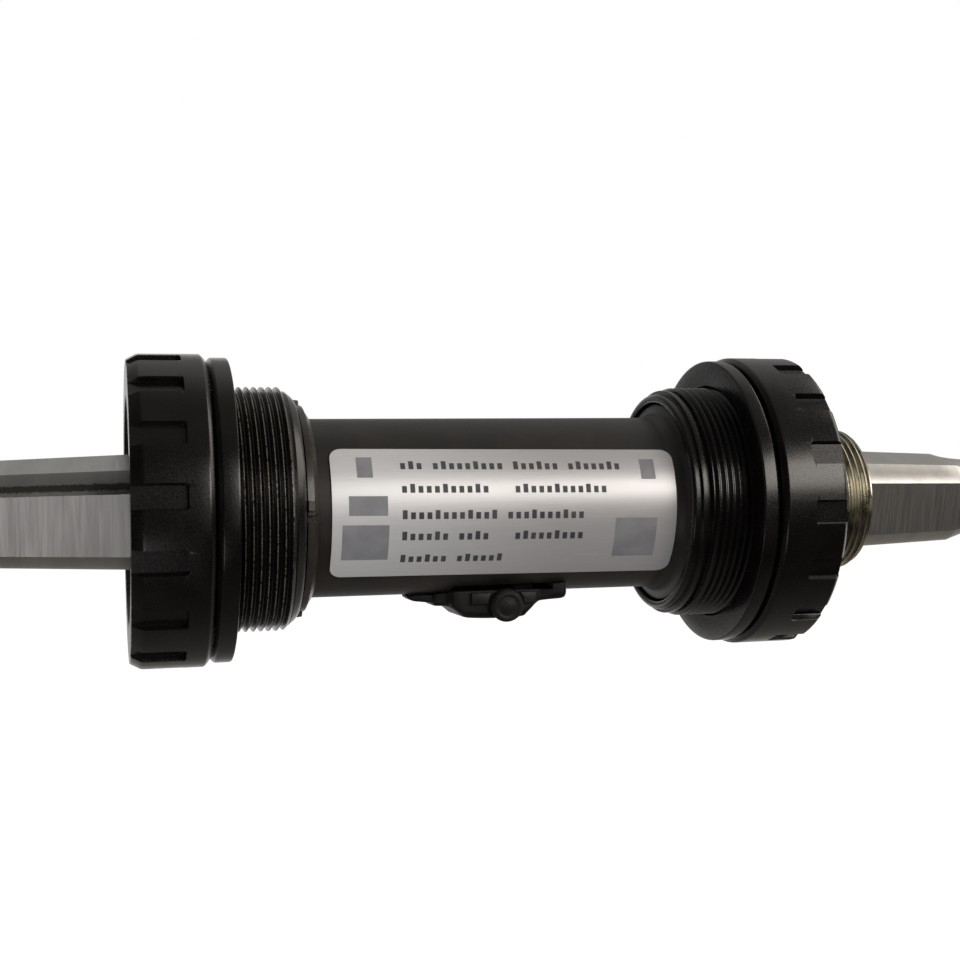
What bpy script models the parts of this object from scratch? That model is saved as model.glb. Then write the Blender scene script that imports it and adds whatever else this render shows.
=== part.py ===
"""Bottom bracket torque sensor: the solids of its pieces.

Sizes are in millimetres and meshes in metres. X runs along the spindle to the drive side, Z is up
and the label faces -Y. Angles about X start at -Y and turn upward. A distance "out" is measured
from the middle of the frame's shell towards either end.
"""
import math

import bmesh
import bpy
from mathutils import Vector

MM = 0.001
CLEAR = 0.3            # gap between pieces that touch or turn against each other

# frame shell and cups
SHELL_HALF = 36.5      # half the width of a 73 mm shell: the spacers' inner faces
LEFT_SPACER_WIDTH = 2.9
RIGHT_SPACER_WIDTH = 2.6
SPACER_WALL = 3.8      # spacer's height above the thread
SPACER_BEVEL = 0.6
RIM_INSET = 0.1        # seal behind the rim's face
RIM_WALL = 2.3         # rim outside the right cup's seal
LEFT_FACE_OUT = 0.8    # the left rim's face stands further out
LEFT_FACE_SLOPE = 1.5  # length and drop of the left face's bevel
LEFT_FACE_DROP = 0.8
RIGHT_FACE_BEVEL = 0.7
RIM_BACK_BEVEL = 0.6
NOTCH_COUNT = 16
NOTCH_WIDTH = 3.3
NOTCH_DEPTH = 1.0
LEFT_NOTCH_LENGTH = 7.2
RIGHT_NOTCH_LENGTH = 5.2
LEFT_NOTCH_PHASE = 5.7
RIGHT_NOTCH_PHASE = -4.0
NOTCH_WALL_DEG = 0.25  # slope of a notch's side walls
NOTCH_END_SLOPE = 0.15
CUP_WALL = 4.25        # from the cups' bore to the outside of the 1.37 inch thread
LEFT_THREAD_LENGTH = 7.3
LEFT_CONE_LENGTH = 1.9
LEFT_CONE_DROP = 1.7
RIGHT_THREAD_LENGTH = 6.0
RELIEF_WIDTH = 0.6
RELIEF_DEPTH = 1.0
COLLAR_DROP = 0.4
COLLAR_WIDTH = 0.8
LIP_WIDTH = 1.2        # narrower lip in front of the collar
LIP_DROP = 0.6
LIP_ROUND = 0.6
WEB = 1.2              # wall between rim back and bearing

# bearings
BEARING_WIDTH = 7.0
LEFT_BEARING_HIGH = 6.2
RIGHT_BEARING_HIGH = 5.7
BEARING_WALL = 1.75    # each ring's wall beside its groove
GROOVE_DEPTH = 0.9
LEFT_BALLS = 11
LEFT_BALL_R = 1.7
RIGHT_BALLS = 16
RIGHT_BALL_R = 1.45
CAGE_WIRE_R = 0.55
SEAL_WIDTH = 0.9
SEAL_LIP = 0.4         # seal clear of the turning piece
SEAL_LEDGE = 0.9       # how far the seal's seat is wider than the bearing's

# spindle
SPINDLE_HALF = 81.5
SQUARE_END = 12.0      # across flats at the end
TAPER_DEG = 2.0
CORNER_RATIO = 1.18    # corner radius over half the width across flats
SQUARE_LEAN_DEG = -15.0
END_CONE_LENGTH = 4.3
END_R = 5.85
CORE_R = 8.2
JOURNAL_RISE = 0.3
LEFT_SQUARE_INSET = 0.3
RIGHT_SQUARE_INSET = 1.2
BOLT_BORE_R = 3.4      # core of an M8 thread
BOLT_BORE_DEPTH = 20.0
BOLT_BORE_LEAD = 0.6

# torque sleeve
HUB_LENGTH = 3.4
HUB_RISE = 1.4
TORSION_WALL = 1.0
SEAT_STEP = 1.6
SHOULDER_RISE = 0.9
SHOULDER_LENGTH = 2.0
SEAT_LEAD = 1.6
NOSE_WALL = 2.4        # up to the outside of the M22 thread
NOSE_REACH = 10.2      # nose beyond the rim's face
NOSE_BEVEL = 0.6
CIRCLIP_WIDTH = 1.2
CIRCLIP_ROOM = 1.0     # between circlip and left bush
CIRCLIP_HIGH = 2.1
CIRCLIP_BITE = 0.6

# housing tube and what it holds
TUBE_WALL = 1.25
TUBE_LEFT_IN = 1.5     # tube's ends inside the shell's faces
TUBE_RIGHT_IN = 2.0
FLANGE_IN = 0.4        # tube's flange inside the right cup's mouth
TUBE_FLARE = 1.7
RIGHT_O_RING_IN = 1.5
MOUTH_ROOM = 2.05      # right cup's mouth is wider than the left cup's bore
O_RING_WIDTH = 1.2
O_RING_THICK = 0.95
LEFT_O_RING_IN = 6.4   # left O-ring inside the shell's face
WINDOW_LEFT = -5.0
WINDOW_RIGHT = 9.9
WINDOW_HALF = 5.1
WINDOW_FRONT = 5.8     # it reaches past the moulding's front, where a dark gap shows
BUSH_WIDTH = 5.0
BUSH_IN = 1.0          # left bush inside the tube's end
RIGHT_BUSH_IN = 8.5
BOBBIN_WALL = 0.5
FLANGE_WIDTH = 1.0
COIL_COUNT = 3
COIL_CLEAR = 0.2
COIL_HIGH = 1.0
MAGNET_LEFT = 5.2
MAGNET_ROOM = 0.4      # between bobbin and magnet
MAGNET_WIDTH = 3.0
MAGNET_THICK = 1.3

# nose ring in the left cup
NOSE_RING_LENGTH = 1.7
NOSE_RING_WALL = 1.75
NOSE_RING_TIP = 0.25
NOSE_SPIGOT_LENGTH = 0.9
NOSE_SPIGOT_WALL = 0.75
NOSE_SLOTS = 4
NOSE_SLOT_WIDTH = 1.0
NOSE_SLOT_DEPTH = 0.9
NOSE_SLOT_PHASE = -5.0
NOSE_LUG_RISE = 0.7
NOSE_LUG_WIDTH = 1.3

# label
LABEL_LEFT_IN = 13.0   # label's ends inside the shell's faces
LABEL_RIGHT_IN = 9.9
LABEL_TOP_DEG = 37.5
LABEL_BOTTOM_DEG = -47.6
LABEL_DRIFT_DEG = -3.0 # it is stuck on slightly askew
LABEL_THICK = 0.15
LABEL_CLEAR = 0.15
LABEL_CORNER = 1.7

# outlet cover and plug
COVER_HALF = 5.4
COVER_ROUND = 1.0
COVER_WALL = 1.1
COVER_SILL = -0.5      # front wall's top below the tube, along the window
COVER_LINE = (         # X, drop below the tube and half width of the moulding's sections
    (-11.0, 0.35, 1.6), (-10.6, 0.7, 2.0), (-10.0, 0.95, 2.2), (-7.4, 1.25, 2.4),
    (-7.1, 1.7, 3.0), (-5.4, 1.7, 3.8), (-4.9, 1.95, 5.2), (-4.3, 2.35, 5.4), (-3.1, 3.4, 5.4),
    (0.8, 3.6, 5.4), (5.7, 3.55, 5.4), (7.0, 2.3, 5.4), (7.6, 1.7, 5.4), (8.2, 1.25, 5.4),
    (9.6, 1.05, 6.2), (11.3, 0.95, 6.4), (11.8, 0.8, 6.2), (12.1, 0.55, 5.6),
)
POCKET_IN = 1.9        # deep pocket's left and right ends
POCKET_OUT = 4.9
POCKET_DROP = 2.45
PAD_WIDTH = 2.9        # pads on the moulding's near side
PAD_PROUD = 0.5
PAD_TOP = -0.25
PAD_DROP = 1.45
PADS_AT = (-0.9, 6.0)
PLUG_AT = 2.9
PLUG_R = 2.45
PLUG_NECK = 1.5        # neck's radius in the front wall
PLUG_DROP = 1.45       # plug's axis below the tube, at the front wall
PLUG_LEAN_DEG = 12.0
PLUG_HEAD = 0.9
PLUG_EDGE = 0.4
PLUG_DOME = 0.2
PLUG_LENGTH = 1.1      # neck's length in the wall
BOARD_THICK = 0.8
BOARD_DROP = 0.4       # board's top face below the tube's bore
SENSOR_CHIP = 3.0
SENSOR_CHIP_HIGH = 0.6
SENSOR_CHIP_SINK = 0.1
CONTROL_CHIP = 4.0
CONTROL_CHIP_HIGH = 0.8

RING_SIDES = 40
SMALL_SIDES = 28


def derived():
    """Work out the places that follow from the named sizes."""
    d = {}
    d["rim_in"] = SHELL_HALF + LEFT_SPACER_WIDTH + CLEAR
    d["right_rim_in"] = SHELL_HALF + RIGHT_SPACER_WIDTH + CLEAR
    d["pocket"] = d["rim_in"] + WEB
    d["bearing_in"] = d["pocket"] + CLEAR
    d["bearing_out"] = d["bearing_in"] + BEARING_WIDTH
    d["seal_in"] = d["bearing_out"] + CLEAR
    d["seal_out"] = d["seal_in"] + SEAL_WIDTH
    d["rim_out"] = d["seal_out"] + RIM_INSET
    d["left_face"] = d["rim_out"] + LEFT_FACE_OUT
    d["nose_end"] = d["rim_out"] + NOSE_REACH
    d["tube_left"] = SHELL_HALF - TUBE_LEFT_IN
    d["tube_right"] = SHELL_HALF - TUBE_RIGHT_IN
    d["left_o_ring"] = SHELL_HALF - LEFT_O_RING_IN
    d["left_bush"] = d["tube_left"] - BUSH_IN - BUSH_WIDTH
    d["right_bush"] = d["tube_right"] - RIGHT_BUSH_IN
    d["sleeve_left"] = d["left_bush"] - CIRCLIP_ROOM - CIRCLIP_WIDTH - CLEAR
    d["bobbin_left"] = CLEAR + HUB_LENGTH + HUB_RISE - d["sleeve_left"]
    d["bobbin_right"] = MAGNET_LEFT - MAGNET_ROOM
    room = d["bobbin_right"] - d["bobbin_left"] - (COIL_COUNT + 1) * FLANGE_WIDTH
    d["coil_width"] = room / COIL_COUNT - 2 * COIL_CLEAR
    d["label_left"] = LABEL_LEFT_IN - SHELL_HALF
    d["label_right"] = SHELL_HALF - LABEL_RIGHT_IN
    # from the spindle outward: sleeve, coils, tube, cups' bore, thread and spacer
    d["sleeve_bore"] = CORE_R + CLEAR
    d["torsion_r"] = d["sleeve_bore"] + TORSION_WALL
    d["hub_r"] = d["torsion_r"] + HUB_RISE
    d["tube_bore"] = d["torsion_r"] + CLEAR + BOBBIN_WALL + COIL_HIGH + CLEAR
    d["tube_r"] = d["tube_bore"] + TUBE_WALL
    d["cup_bore"] = d["tube_r"] + CLEAR
    d["mouth_r"] = d["cup_bore"] + MOUTH_ROOM
    d["flange_r"] = d["mouth_r"] - CLEAR
    d["spigot_r"] = d["cup_bore"] + NOSE_SPIGOT_WALL
    d["thread_r"] = d["cup_bore"] + CUP_WALL
    d["thread_bore"] = d["thread_r"] + CLEAR
    d["spacer_r"] = d["thread_bore"] + SPACER_WALL
    # and: nose, bearing seats, bearings and rims
    d["nose_r"] = d["sleeve_bore"] + NOSE_WALL
    d["seat_r"] = d["nose_r"] + SEAT_STEP
    d["journal_r"] = CORE_R + JOURNAL_RISE
    d["left_bearing_r"] = d["journal_r"] + CLEAR + LEFT_BEARING_HIGH
    d["right_bearing_r"] = d["seat_r"] + CLEAR + RIGHT_BEARING_HIGH
    d["rim_r"] = d["right_bearing_r"] + CLEAR + SEAL_LEDGE + RIM_WALL
    collar_out = SHELL_HALF - RIGHT_THREAD_LENGTH - RELIEF_WIDTH
    d["collar_out"] = collar_out
    d["mouth"] = collar_out - COLLAR_WIDTH - LIP_WIDTH
    d["left_cone_in"] = SHELL_HALF - LEFT_THREAD_LENGTH - LEFT_CONE_LENGTH
    d["window_board"] = WINDOW_LEFT + CLEAR + COVER_WALL
    return d


D = derived()


def material(name, colour, metallic, roughness):
    """Make one Principled material."""
    mat = bpy.data.materials.new(name)
    mat.use_nodes = True
    bsdf = mat.node_tree.nodes["Principled BSDF"]
    bsdf.inputs["Base Color"].default_value = (*colour, 1.0)
    bsdf.inputs["Metallic"].default_value = metallic
    bsdf.inputs["Roughness"].default_value = roughness
    mat.diffuse_color = (*colour, 1.0)
    return mat


def around(x, r, deg):
    """Point at distance r from the axis, at an angle from the label side upward."""
    t = math.radians(deg)
    return (x * MM, -r * math.cos(t) * MM, r * math.sin(t) * MM)


def add_object(name, verts, faces, mat):
    """Make a mesh object with its faces outward."""
    mesh = bpy.data.meshes.new(name)
    mesh.from_pydata(verts, [], faces)
    bm = bmesh.new()
    bm.from_mesh(mesh)
    bmesh.ops.recalc_face_normals(bm, faces=bm.faces)
    bm.to_mesh(mesh)
    bm.free()
    mesh.materials.append(mat)
    obj = bpy.data.objects.new(name, mesh)
    bpy.context.collection.objects.link(obj)
    return obj


def even(sides, phase=0.0):
    """Evenly spaced angles in degrees."""
    return [phase + 360.0 * k / sides for k in range(sides)]


def rows_mesh(rows, closed):
    """Join rows of points into quads. A row of one point is an end on the axis."""
    verts, starts = [], []
    for row in rows:
        starts.append(len(verts))
        verts.extend(row)
    faces = []
    pairs = list(zip(range(len(rows)), range(1, len(rows))))
    if closed:
        pairs.append((len(rows) - 1, 0))
    for i, j in pairs:
        join_rows(faces, starts[i], len(rows[i]), starts[j], len(rows[j]))
    return verts, faces


def join_rows(faces, a, na, b, nb):
    """Add the faces between two rows of equal count, or a row and a point."""
    n = max(na, nb)
    for k in range(n):
        k2 = (k + 1) % n
        if na == 1:
            faces.append((a, b + k2, b + k))
        elif nb == 1:
            faces.append((a + k, a + k2, b))
        else:
            faces.append((a + k, a + k2, b + k2, b + k))


def zip_rows(faces, a, a_deg, b, b_deg):
    """Join two rows of different counts, going by their angles."""
    na, nb = len(a_deg), len(b_deg)
    i = j = 0
    while i < na or j < nb:
        next_a = a_deg[i + 1] if i + 1 < na else a_deg[0] + 360.0
        next_b = b_deg[j + 1] if j + 1 < nb else b_deg[0] + 360.0
        if j >= nb or (i < na and next_a <= next_b):
            faces.append((a + i % na, a + (i + 1) % na, b + j % nb))
            i += 1
        else:
            faces.append((a + i % na, b + (j + 1) % nb, b + j % nb))
            j += 1


def lathe(name, profile, mat, sides=RING_SIDES, side=1):
    """Turn a closed profile of (out, radius) points about the axis."""
    angles = even(sides)
    rows = [[around(side * x, r, a) for a in angles] for x, r in profile]
    return add_object(name, *rows_mesh(rows, True), mat)


def ring(name, x0, x1, r0, r1, mat, sides=RING_SIDES, side=1):
    """A plain ring between two places and two radii."""
    return lathe(name, [(x0, r0), (x1, r0), (x1, r1), (x0, r1)], mat, sides, side)


def o_ring(name, middle, r0, mat, side):
    """A ring of six-sided section."""
    w, t = O_RING_WIDTH / 2, O_RING_THICK
    profile = [(middle - w, r0 + t / 2), (middle - w / 2, r0), (middle + w / 2, r0),
               (middle + w, r0 + t / 2), (middle + w / 2, r0 + t), (middle - w / 2, r0 + t)]
    return lathe(name, profile, mat, 32, side)


def notch_columns(phase):
    """Angles of a notched rim's columns, with True where the column is in a notch."""
    step = 360.0 / NOTCH_COUNT
    half = math.degrees(math.asin(NOTCH_WIDTH / 2 / D["rim_r"]))
    columns = []
    for k in range(NOTCH_COUNT):
        c = phase + k * step
        columns += [(c - half - NOTCH_WALL_DEG, False), (c - half, True), (c + half, True),
                    (c + half + NOTCH_WALL_DEG, False), (c + step / 2, False)]
    return columns


def cup(name, notch_length, phase, rim, rest, side, mat):
    """One cup: a notched rim, then the turned rest from the rim's back round to its face.

    rim is its back, its face, and the length and drop of the bevel at the face. rest is the open
    profile of (out, radius) from the thread's root on the rim's back, through the nose and the
    bore, to the seal's seat in the face.
    """
    columns = notch_columns(phase)
    rim_deg = [a for a, _ in columns]
    back, out, slope, drop = rim
    full = D["rim_r"]
    floor = full - NOTCH_DEPTH
    end = out - notch_length
    outline = [(out, full - drop, floor), (out - slope, full, floor),
               (end, full, floor), (end - NOTCH_END_SLOPE, full, full),
               (back + RIM_BACK_BEVEL, full, full),
               (back, full - RIM_BACK_BEVEL, full - RIM_BACK_BEVEL)]
    rows = [[around(side * x, min(r, low) if cut else r, a) for a, cut in columns]
            for x, r, low in outline]
    rest_deg = even(RING_SIDES, rim_deg[0])
    rest_rows = [[around(side * x, r, a) for a in rest_deg] for x, r in rest]
    verts, faces = rows_mesh(rows, False)
    more, more_faces = rows_mesh(rest_rows, False)
    base = len(verts)
    faces += [tuple(base + i for i in f) for f in more_faces]
    verts += more
    zip_rows(faces, base - len(columns), rim_deg, base, rest_deg)
    zip_rows(faces, 0, rim_deg, len(verts) - RING_SIDES, rest_deg)
    return add_object(name, verts, faces, mat)


def left_cup(mat):
    """The cup with the slotted nose ring."""
    bore, thread = D["cup_bore"], D["thread_r"]
    cone_in = D["left_cone_in"]
    cone_r = thread - LEFT_CONE_DROP
    spigot_r = D["spigot_r"] + CLEAR
    spigot_end = cone_in + NOSE_SPIGOT_LENGTH + CLEAR
    groove = O_RING_WIDTH / 2 + CLEAR
    groove_r = bore + O_RING_THICK + CLEAR
    groove_in, groove_out = D["left_o_ring"] - groove, D["left_o_ring"] + groove
    seat = D["left_bearing_r"] + CLEAR
    rest = [(D["rim_in"], thread), (cone_in + LEFT_CONE_LENGTH, thread), (cone_in, cone_r),
            (cone_in, spigot_r), (spigot_end, spigot_r), (spigot_end, bore),
            (groove_in, bore), (groove_in, groove_r), (groove_out, groove_r), (groove_out, bore),
            (D["pocket"], bore), (D["pocket"], seat), (D["bearing_out"], seat),
            (D["bearing_out"], seat + SEAL_LEDGE), (D["left_face"], seat + SEAL_LEDGE)]
    rim = (D["rim_in"], D["left_face"], LEFT_FACE_SLOPE, LEFT_FACE_DROP)
    return cup("left_cup", LEFT_NOTCH_LENGTH, LEFT_NOTCH_PHASE, rim, rest, -1, mat)


def right_cup(mat):
    """The drive side cup with its relief groove, collar and rounded lip."""
    thread, bore = D["thread_r"], D["mouth_r"]
    thread_in = SHELL_HALF - RIGHT_THREAD_LENGTH
    collar_out, mouth = D["collar_out"], D["mouth"]
    relief, collar = thread - RELIEF_DEPTH, thread - COLLAR_DROP
    lip = collar - LIP_DROP
    seat = D["right_bearing_r"] + CLEAR
    rest = [(D["right_rim_in"], thread), (thread_in, thread), (thread_in, relief),
            (collar_out, relief), (collar_out, collar), (collar_out - COLLAR_WIDTH, collar),
            (collar_out - COLLAR_WIDTH, lip), (mouth + LIP_ROUND, lip),
            (mouth + 0.3 * LIP_ROUND, lip - 0.3 * LIP_ROUND), (mouth, lip - LIP_ROUND),
            (mouth, bore), (D["pocket"], bore), (D["pocket"], seat), (D["bearing_out"], seat),
            (D["bearing_out"], seat + SEAL_LEDGE), (D["rim_out"], seat + SEAL_LEDGE)]
    rim = (D["right_rim_in"], D["rim_out"], RIGHT_FACE_BEVEL, RIGHT_FACE_BEVEL)
    return cup("right_cup", RIGHT_NOTCH_LENGTH, RIGHT_NOTCH_PHASE, rim, rest, 1, mat)


def spacer(name, width, side, mat):
    """The thin ring between a rim and the frame's shell."""
    a, b = SHELL_HALF, SHELL_HALF + width
    bore, full = D["thread_bore"], D["spacer_r"]
    profile = [(a, bore), (b, bore), (b, full - SPACER_BEVEL), (b - SPACER_BEVEL, full), (a, full)]
    return lathe(name, profile, mat, 48, side)


def nose_ring(mat):
    """The slotted ring whose spigot sits in the left cup's nose."""
    back = D["left_cone_in"] - CLEAR
    front = back - NOSE_RING_LENGTH
    bore = D["cup_bore"]
    full, tip = bore + NOSE_RING_WALL, bore + NOSE_RING_TIP
    half = math.degrees(NOSE_SLOT_WIDTH / 2 / full)
    wide = math.degrees(NOSE_LUG_WIDTH / full)
    step = 360.0 / NOSE_SLOTS
    columns = []
    for k in range(NOSE_SLOTS):
        c = NOSE_SLOT_PHASE + k * step
        lug = c + half + wide / 2
        columns += [(c - half - wide / 5, 0), (c - half, -1), (c + half, -1),
                    (c + half + wide / 5, 0), (lug, 1), (lug + wide, 1), (lug + 1.2 * wide, 0)]
        first, last = lug + 1.2 * wide, c + step - half - wide / 5
        columns += [(first + (last - first) * i / 6, 0) for i in range(1, 6)]
    profile = [(back, full, NOSE_SLOT_DEPTH, NOSE_LUG_RISE),
               (back - 0.8, full - 0.1, NOSE_SLOT_DEPTH, NOSE_LUG_RISE),
               (back - 0.9, full - 0.12, NOSE_SLOT_DEPTH, 0.0),
               (front + 0.4, tip + 0.6, 0.5, 0.0),
               (front, tip, 0.0, 0.0), (front, bore, 0.0, 0.0),
               (back + NOSE_SPIGOT_LENGTH, bore, 0.0, 0.0),
               (back + NOSE_SPIGOT_LENGTH, D["spigot_r"], 0.0, 0.0),
               (back, D["spigot_r"], 0.0, 0.0)]
    rows = []
    for x, r, sink, rise in profile:
        rows.append([around(-x, r + (rise if kind > 0 else sink * kind), a)
                     for a, kind in columns])
    return add_object("left_nose_ring", *rows_mesh(rows, True), mat)


def half_across(out):
    """Half the square's width across flats at a distance from the middle."""
    return SQUARE_END / 2 + math.tan(math.radians(TAPER_DEG)) * (SPINDLE_HALF - out)


def square_angles():
    """Angles of the spindle's columns: four flats and four rounded corners."""
    edge = math.degrees(math.acos(1 / CORNER_RATIO))
    gap = 90.0 - 2 * edge
    one = [-edge, -edge / 2, 0.0, edge / 2, edge, edge + gap / 3, edge + 2 * gap / 3]
    return [SQUARE_LEAN_DEG + 90.0 * k + a for k in range(4) for a in one], edge


def square_row(x, half, angles):
    """One section of the tapered square, its corners rounded by a circle."""
    corner = half * CORNER_RATIO
    row = []
    for a in angles:
        off = (a - SQUARE_LEAN_DEG + 45.0) % 90.0 - 45.0
        row.append(around(x, min(corner, half / math.cos(math.radians(off))), a))
    return row


def spindle_end(side, start, shaft_r, angles):
    """Rows from the shaft out over the square, round the end and into the bolt hole."""
    cone = SPINDLE_HALF - END_CONE_LENGTH
    bottom = SPINDLE_HALF - BOLT_BORE_DEPTH
    def circle(x, r):
        return [around(side * x, r, a) for a in angles]
    return [circle(start, shaft_r), square_row(side * start, half_across(start), angles),
            square_row(side * cone, half_across(cone), angles), circle(SPINDLE_HALF, END_R),
            circle(SPINDLE_HALF, BOLT_BORE_R + BOLT_BORE_LEAD),
            circle(SPINDLE_HALF - BOLT_BORE_LEAD, BOLT_BORE_R), circle(bottom, BOLT_BORE_R),
            [(side * (bottom - BOLT_BORE_R * 0.5) * MM, 0.0, 0.0)]]


def spindle(mat):
    """The steel bar with its square tapers, journal and circlip groove."""
    angles, _ = square_angles()
    left = D["rim_out"] - LEFT_SQUARE_INSET
    right = D["nose_end"] - RIGHT_SQUARE_INSET
    journal_in = D["bearing_in"] - CLEAR
    g0 = D["sleeve_left"] + CIRCLIP_WIDTH + 2 * CLEAR
    groove_r = CORE_R - CIRCLIP_BITE
    rows = spindle_end(-1, left, D["journal_r"], angles)[::-1]
    for x, r in ((-journal_in, D["journal_r"]), (-journal_in, CORE_R), (-g0, CORE_R),
                 (-g0, groove_r), (-D["sleeve_left"], groove_r), (-D["sleeve_left"], CORE_R)):
        rows.append([around(x, r, a) for a in angles])
    rows += spindle_end(1, right, CORE_R, angles)
    return add_object("spindle", *rows_mesh(rows, False), mat)


def torque_sleeve(mat):
    """The sleeve that twists under load: hub, thin wall, bearing seat and threaded nose."""
    bore, thin, hub = D["sleeve_bore"], D["torsion_r"], D["hub_r"]
    seat, nose = D["seat_r"], D["nose_r"]
    left, end = -D["sleeve_left"], D["nose_end"]
    tube_end = D["tube_right"] + 2 * CLEAR
    shoulder = D["bearing_in"] - CLEAR
    seat_end = D["bearing_out"]
    profile = [(left, bore), (left, hub), (left + HUB_LENGTH, hub),
               (left + HUB_LENGTH + hub - thin, thin), (tube_end, thin),
               (tube_end + SEAT_LEAD, seat), (shoulder - SHOULDER_LENGTH, seat),
               (shoulder - SHOULDER_LENGTH, seat + SHOULDER_RISE),
               (shoulder, seat + SHOULDER_RISE), (shoulder, seat), (seat_end, seat),
               (seat_end, nose), (end - NOSE_BEVEL, nose), (end, nose - NOSE_BEVEL), (end, bore)]
    return lathe("torque_sleeve", profile, mat, 36)


def bearing(prefix, side, shaft_r, outer_r, balls, ball_r, mat, cage_mat):
    """One ball bearing: outer ring, inner ring and the balls held by their cage."""
    a, b = D["bearing_in"], D["bearing_out"]
    middle = (a + b) / 2
    inner_r = shaft_r + CLEAR
    race_out, race_in = outer_r - BEARING_WALL, inner_r + BEARING_WALL
    pitch = (race_out + race_in) / 2
    lathe(prefix + "_bearing_outer",
          [(a, outer_r), (b, outer_r), (b, race_out), (middle, race_out + GROOVE_DEPTH),
           (a, race_out)], mat, SMALL_SIDES, side)
    lathe(prefix + "_bearing_inner",
          [(a, inner_r), (b, inner_r), (b, race_in), (middle, race_in - GROOVE_DEPTH),
           (a, race_in)], mat, SMALL_SIDES, side)
    step = 360.0 / balls
    reach = math.degrees(ball_r / pitch)
    columns = []
    for k in range(balls):
        for part in (-0.93, -0.6, 0.0, 0.6, 0.93):
            columns.append((k * step + part * reach, ball_r * math.sqrt(1 - part * part)))
    rows = []
    for i in range(6):
        t = math.radians(60.0 * i)
        rows.append([around(side * (middle + max(w, CAGE_WIRE_R) * math.cos(t)),
                            pitch + max(w, CAGE_WIRE_R) * math.sin(t), deg)
                     for deg, w in columns])
    add_object(prefix + "_ball_cage", *rows_mesh(rows, True), cage_mat)


def seal(name, side, bearing_r, shaft_r, mat):
    """The thin seal in a cup's face."""
    outer = bearing_r + CLEAR + SEAL_LEDGE - CLEAR
    return ring(name, D["seal_in"], D["seal_out"], shaft_r + SEAL_LIP, outer, mat, 36, side)


def combine(obj, others, operation):
    """Join closed solids to an object, or cut them out of it."""
    for other in others:
        other.hide_render = True
        other.display_type = "WIRE"
        mod = obj.modifiers.new(other.name, "BOOLEAN")
        mod.operation = operation
        mod.solver = "EXACT"
        mod.object = other


def box(name, x, y, z, mat):
    """A box between pairs of limits."""
    verts = [(a * MM, b * MM, c * MM) for a in x for b in y for c in z]
    faces = [(0, 1, 3, 2), (4, 6, 7, 5), (0, 4, 5, 1), (2, 3, 7, 6), (0, 2, 6, 4), (1, 5, 7, 3)]
    return add_object(name, verts, faces, mat)


def housing_tube(mat):
    """The sensor's tube, flared into the right cup, with its window underneath."""
    bore, full, flange = D["tube_bore"], D["tube_r"], D["flange_r"]
    left, right = -D["tube_left"], D["tube_right"]
    face = D["mouth"] + FLANGE_IN
    rise = flange - full
    middle = right - RIGHT_O_RING_IN
    half = O_RING_WIDTH / 2 + CLEAR
    ring_r = D["mouth_r"] - CLEAR - O_RING_THICK
    groove_r = ring_r - CLEAR
    profile = [(left, bore), (left, full), (face - TUBE_FLARE, full),
               (face - 0.5 * TUBE_FLARE, full + 0.1 * rise),
               (face - 0.17 * TUBE_FLARE, full + 0.35 * rise), (face, full + 0.75 * rise),
               (face, flange), (middle - half, flange), (middle - half, groove_r),
               (middle + half, groove_r), (middle + half, flange), (right, flange),
               (right, bore)]
    tube = lathe("housing_tube", profile, mat, 48)
    window = box("window_cutter", (WINDOW_LEFT, WINDOW_RIGHT), (-WINDOW_FRONT, WINDOW_HALF),
                 (-2 * full, -full / 2), mat)
    combine(tube, [window], "DIFFERENCE")
    o_ring("right_o_ring", middle, ring_r, MATS["rubber"], 1)
    return tube


def coils(bobbin_mat, copper):
    """The bobbin round the sleeve's thin wall, and its coils."""
    bore = D["torsion_r"] + CLEAR
    base = bore + BOBBIN_WALL
    rim = D["tube_bore"] - CLEAR
    x, wide = D["bobbin_left"], D["coil_width"]
    profile, names = [(x, bore)], ("left_coil", "middle_coil", "right_coil")
    for k in range(COIL_COUNT):
        profile += [(x, rim), (x + FLANGE_WIDTH, rim)]
        x += FLANGE_WIDTH
        profile += [(x, base), (x + wide + 2 * COIL_CLEAR, base)]
        ring(names[k], x + COIL_CLEAR, x + COIL_CLEAR + wide, base + COIL_CLEAR,
             rim - COIL_CLEAR / 2, copper, SMALL_SIDES)
        x += wide + 2 * COIL_CLEAR
    profile += [(x, rim), (x + FLANGE_WIDTH, rim), (x + FLANGE_WIDTH, bore)]
    lathe("coil_bobbin", profile, bobbin_mat, SMALL_SIDES)


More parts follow.
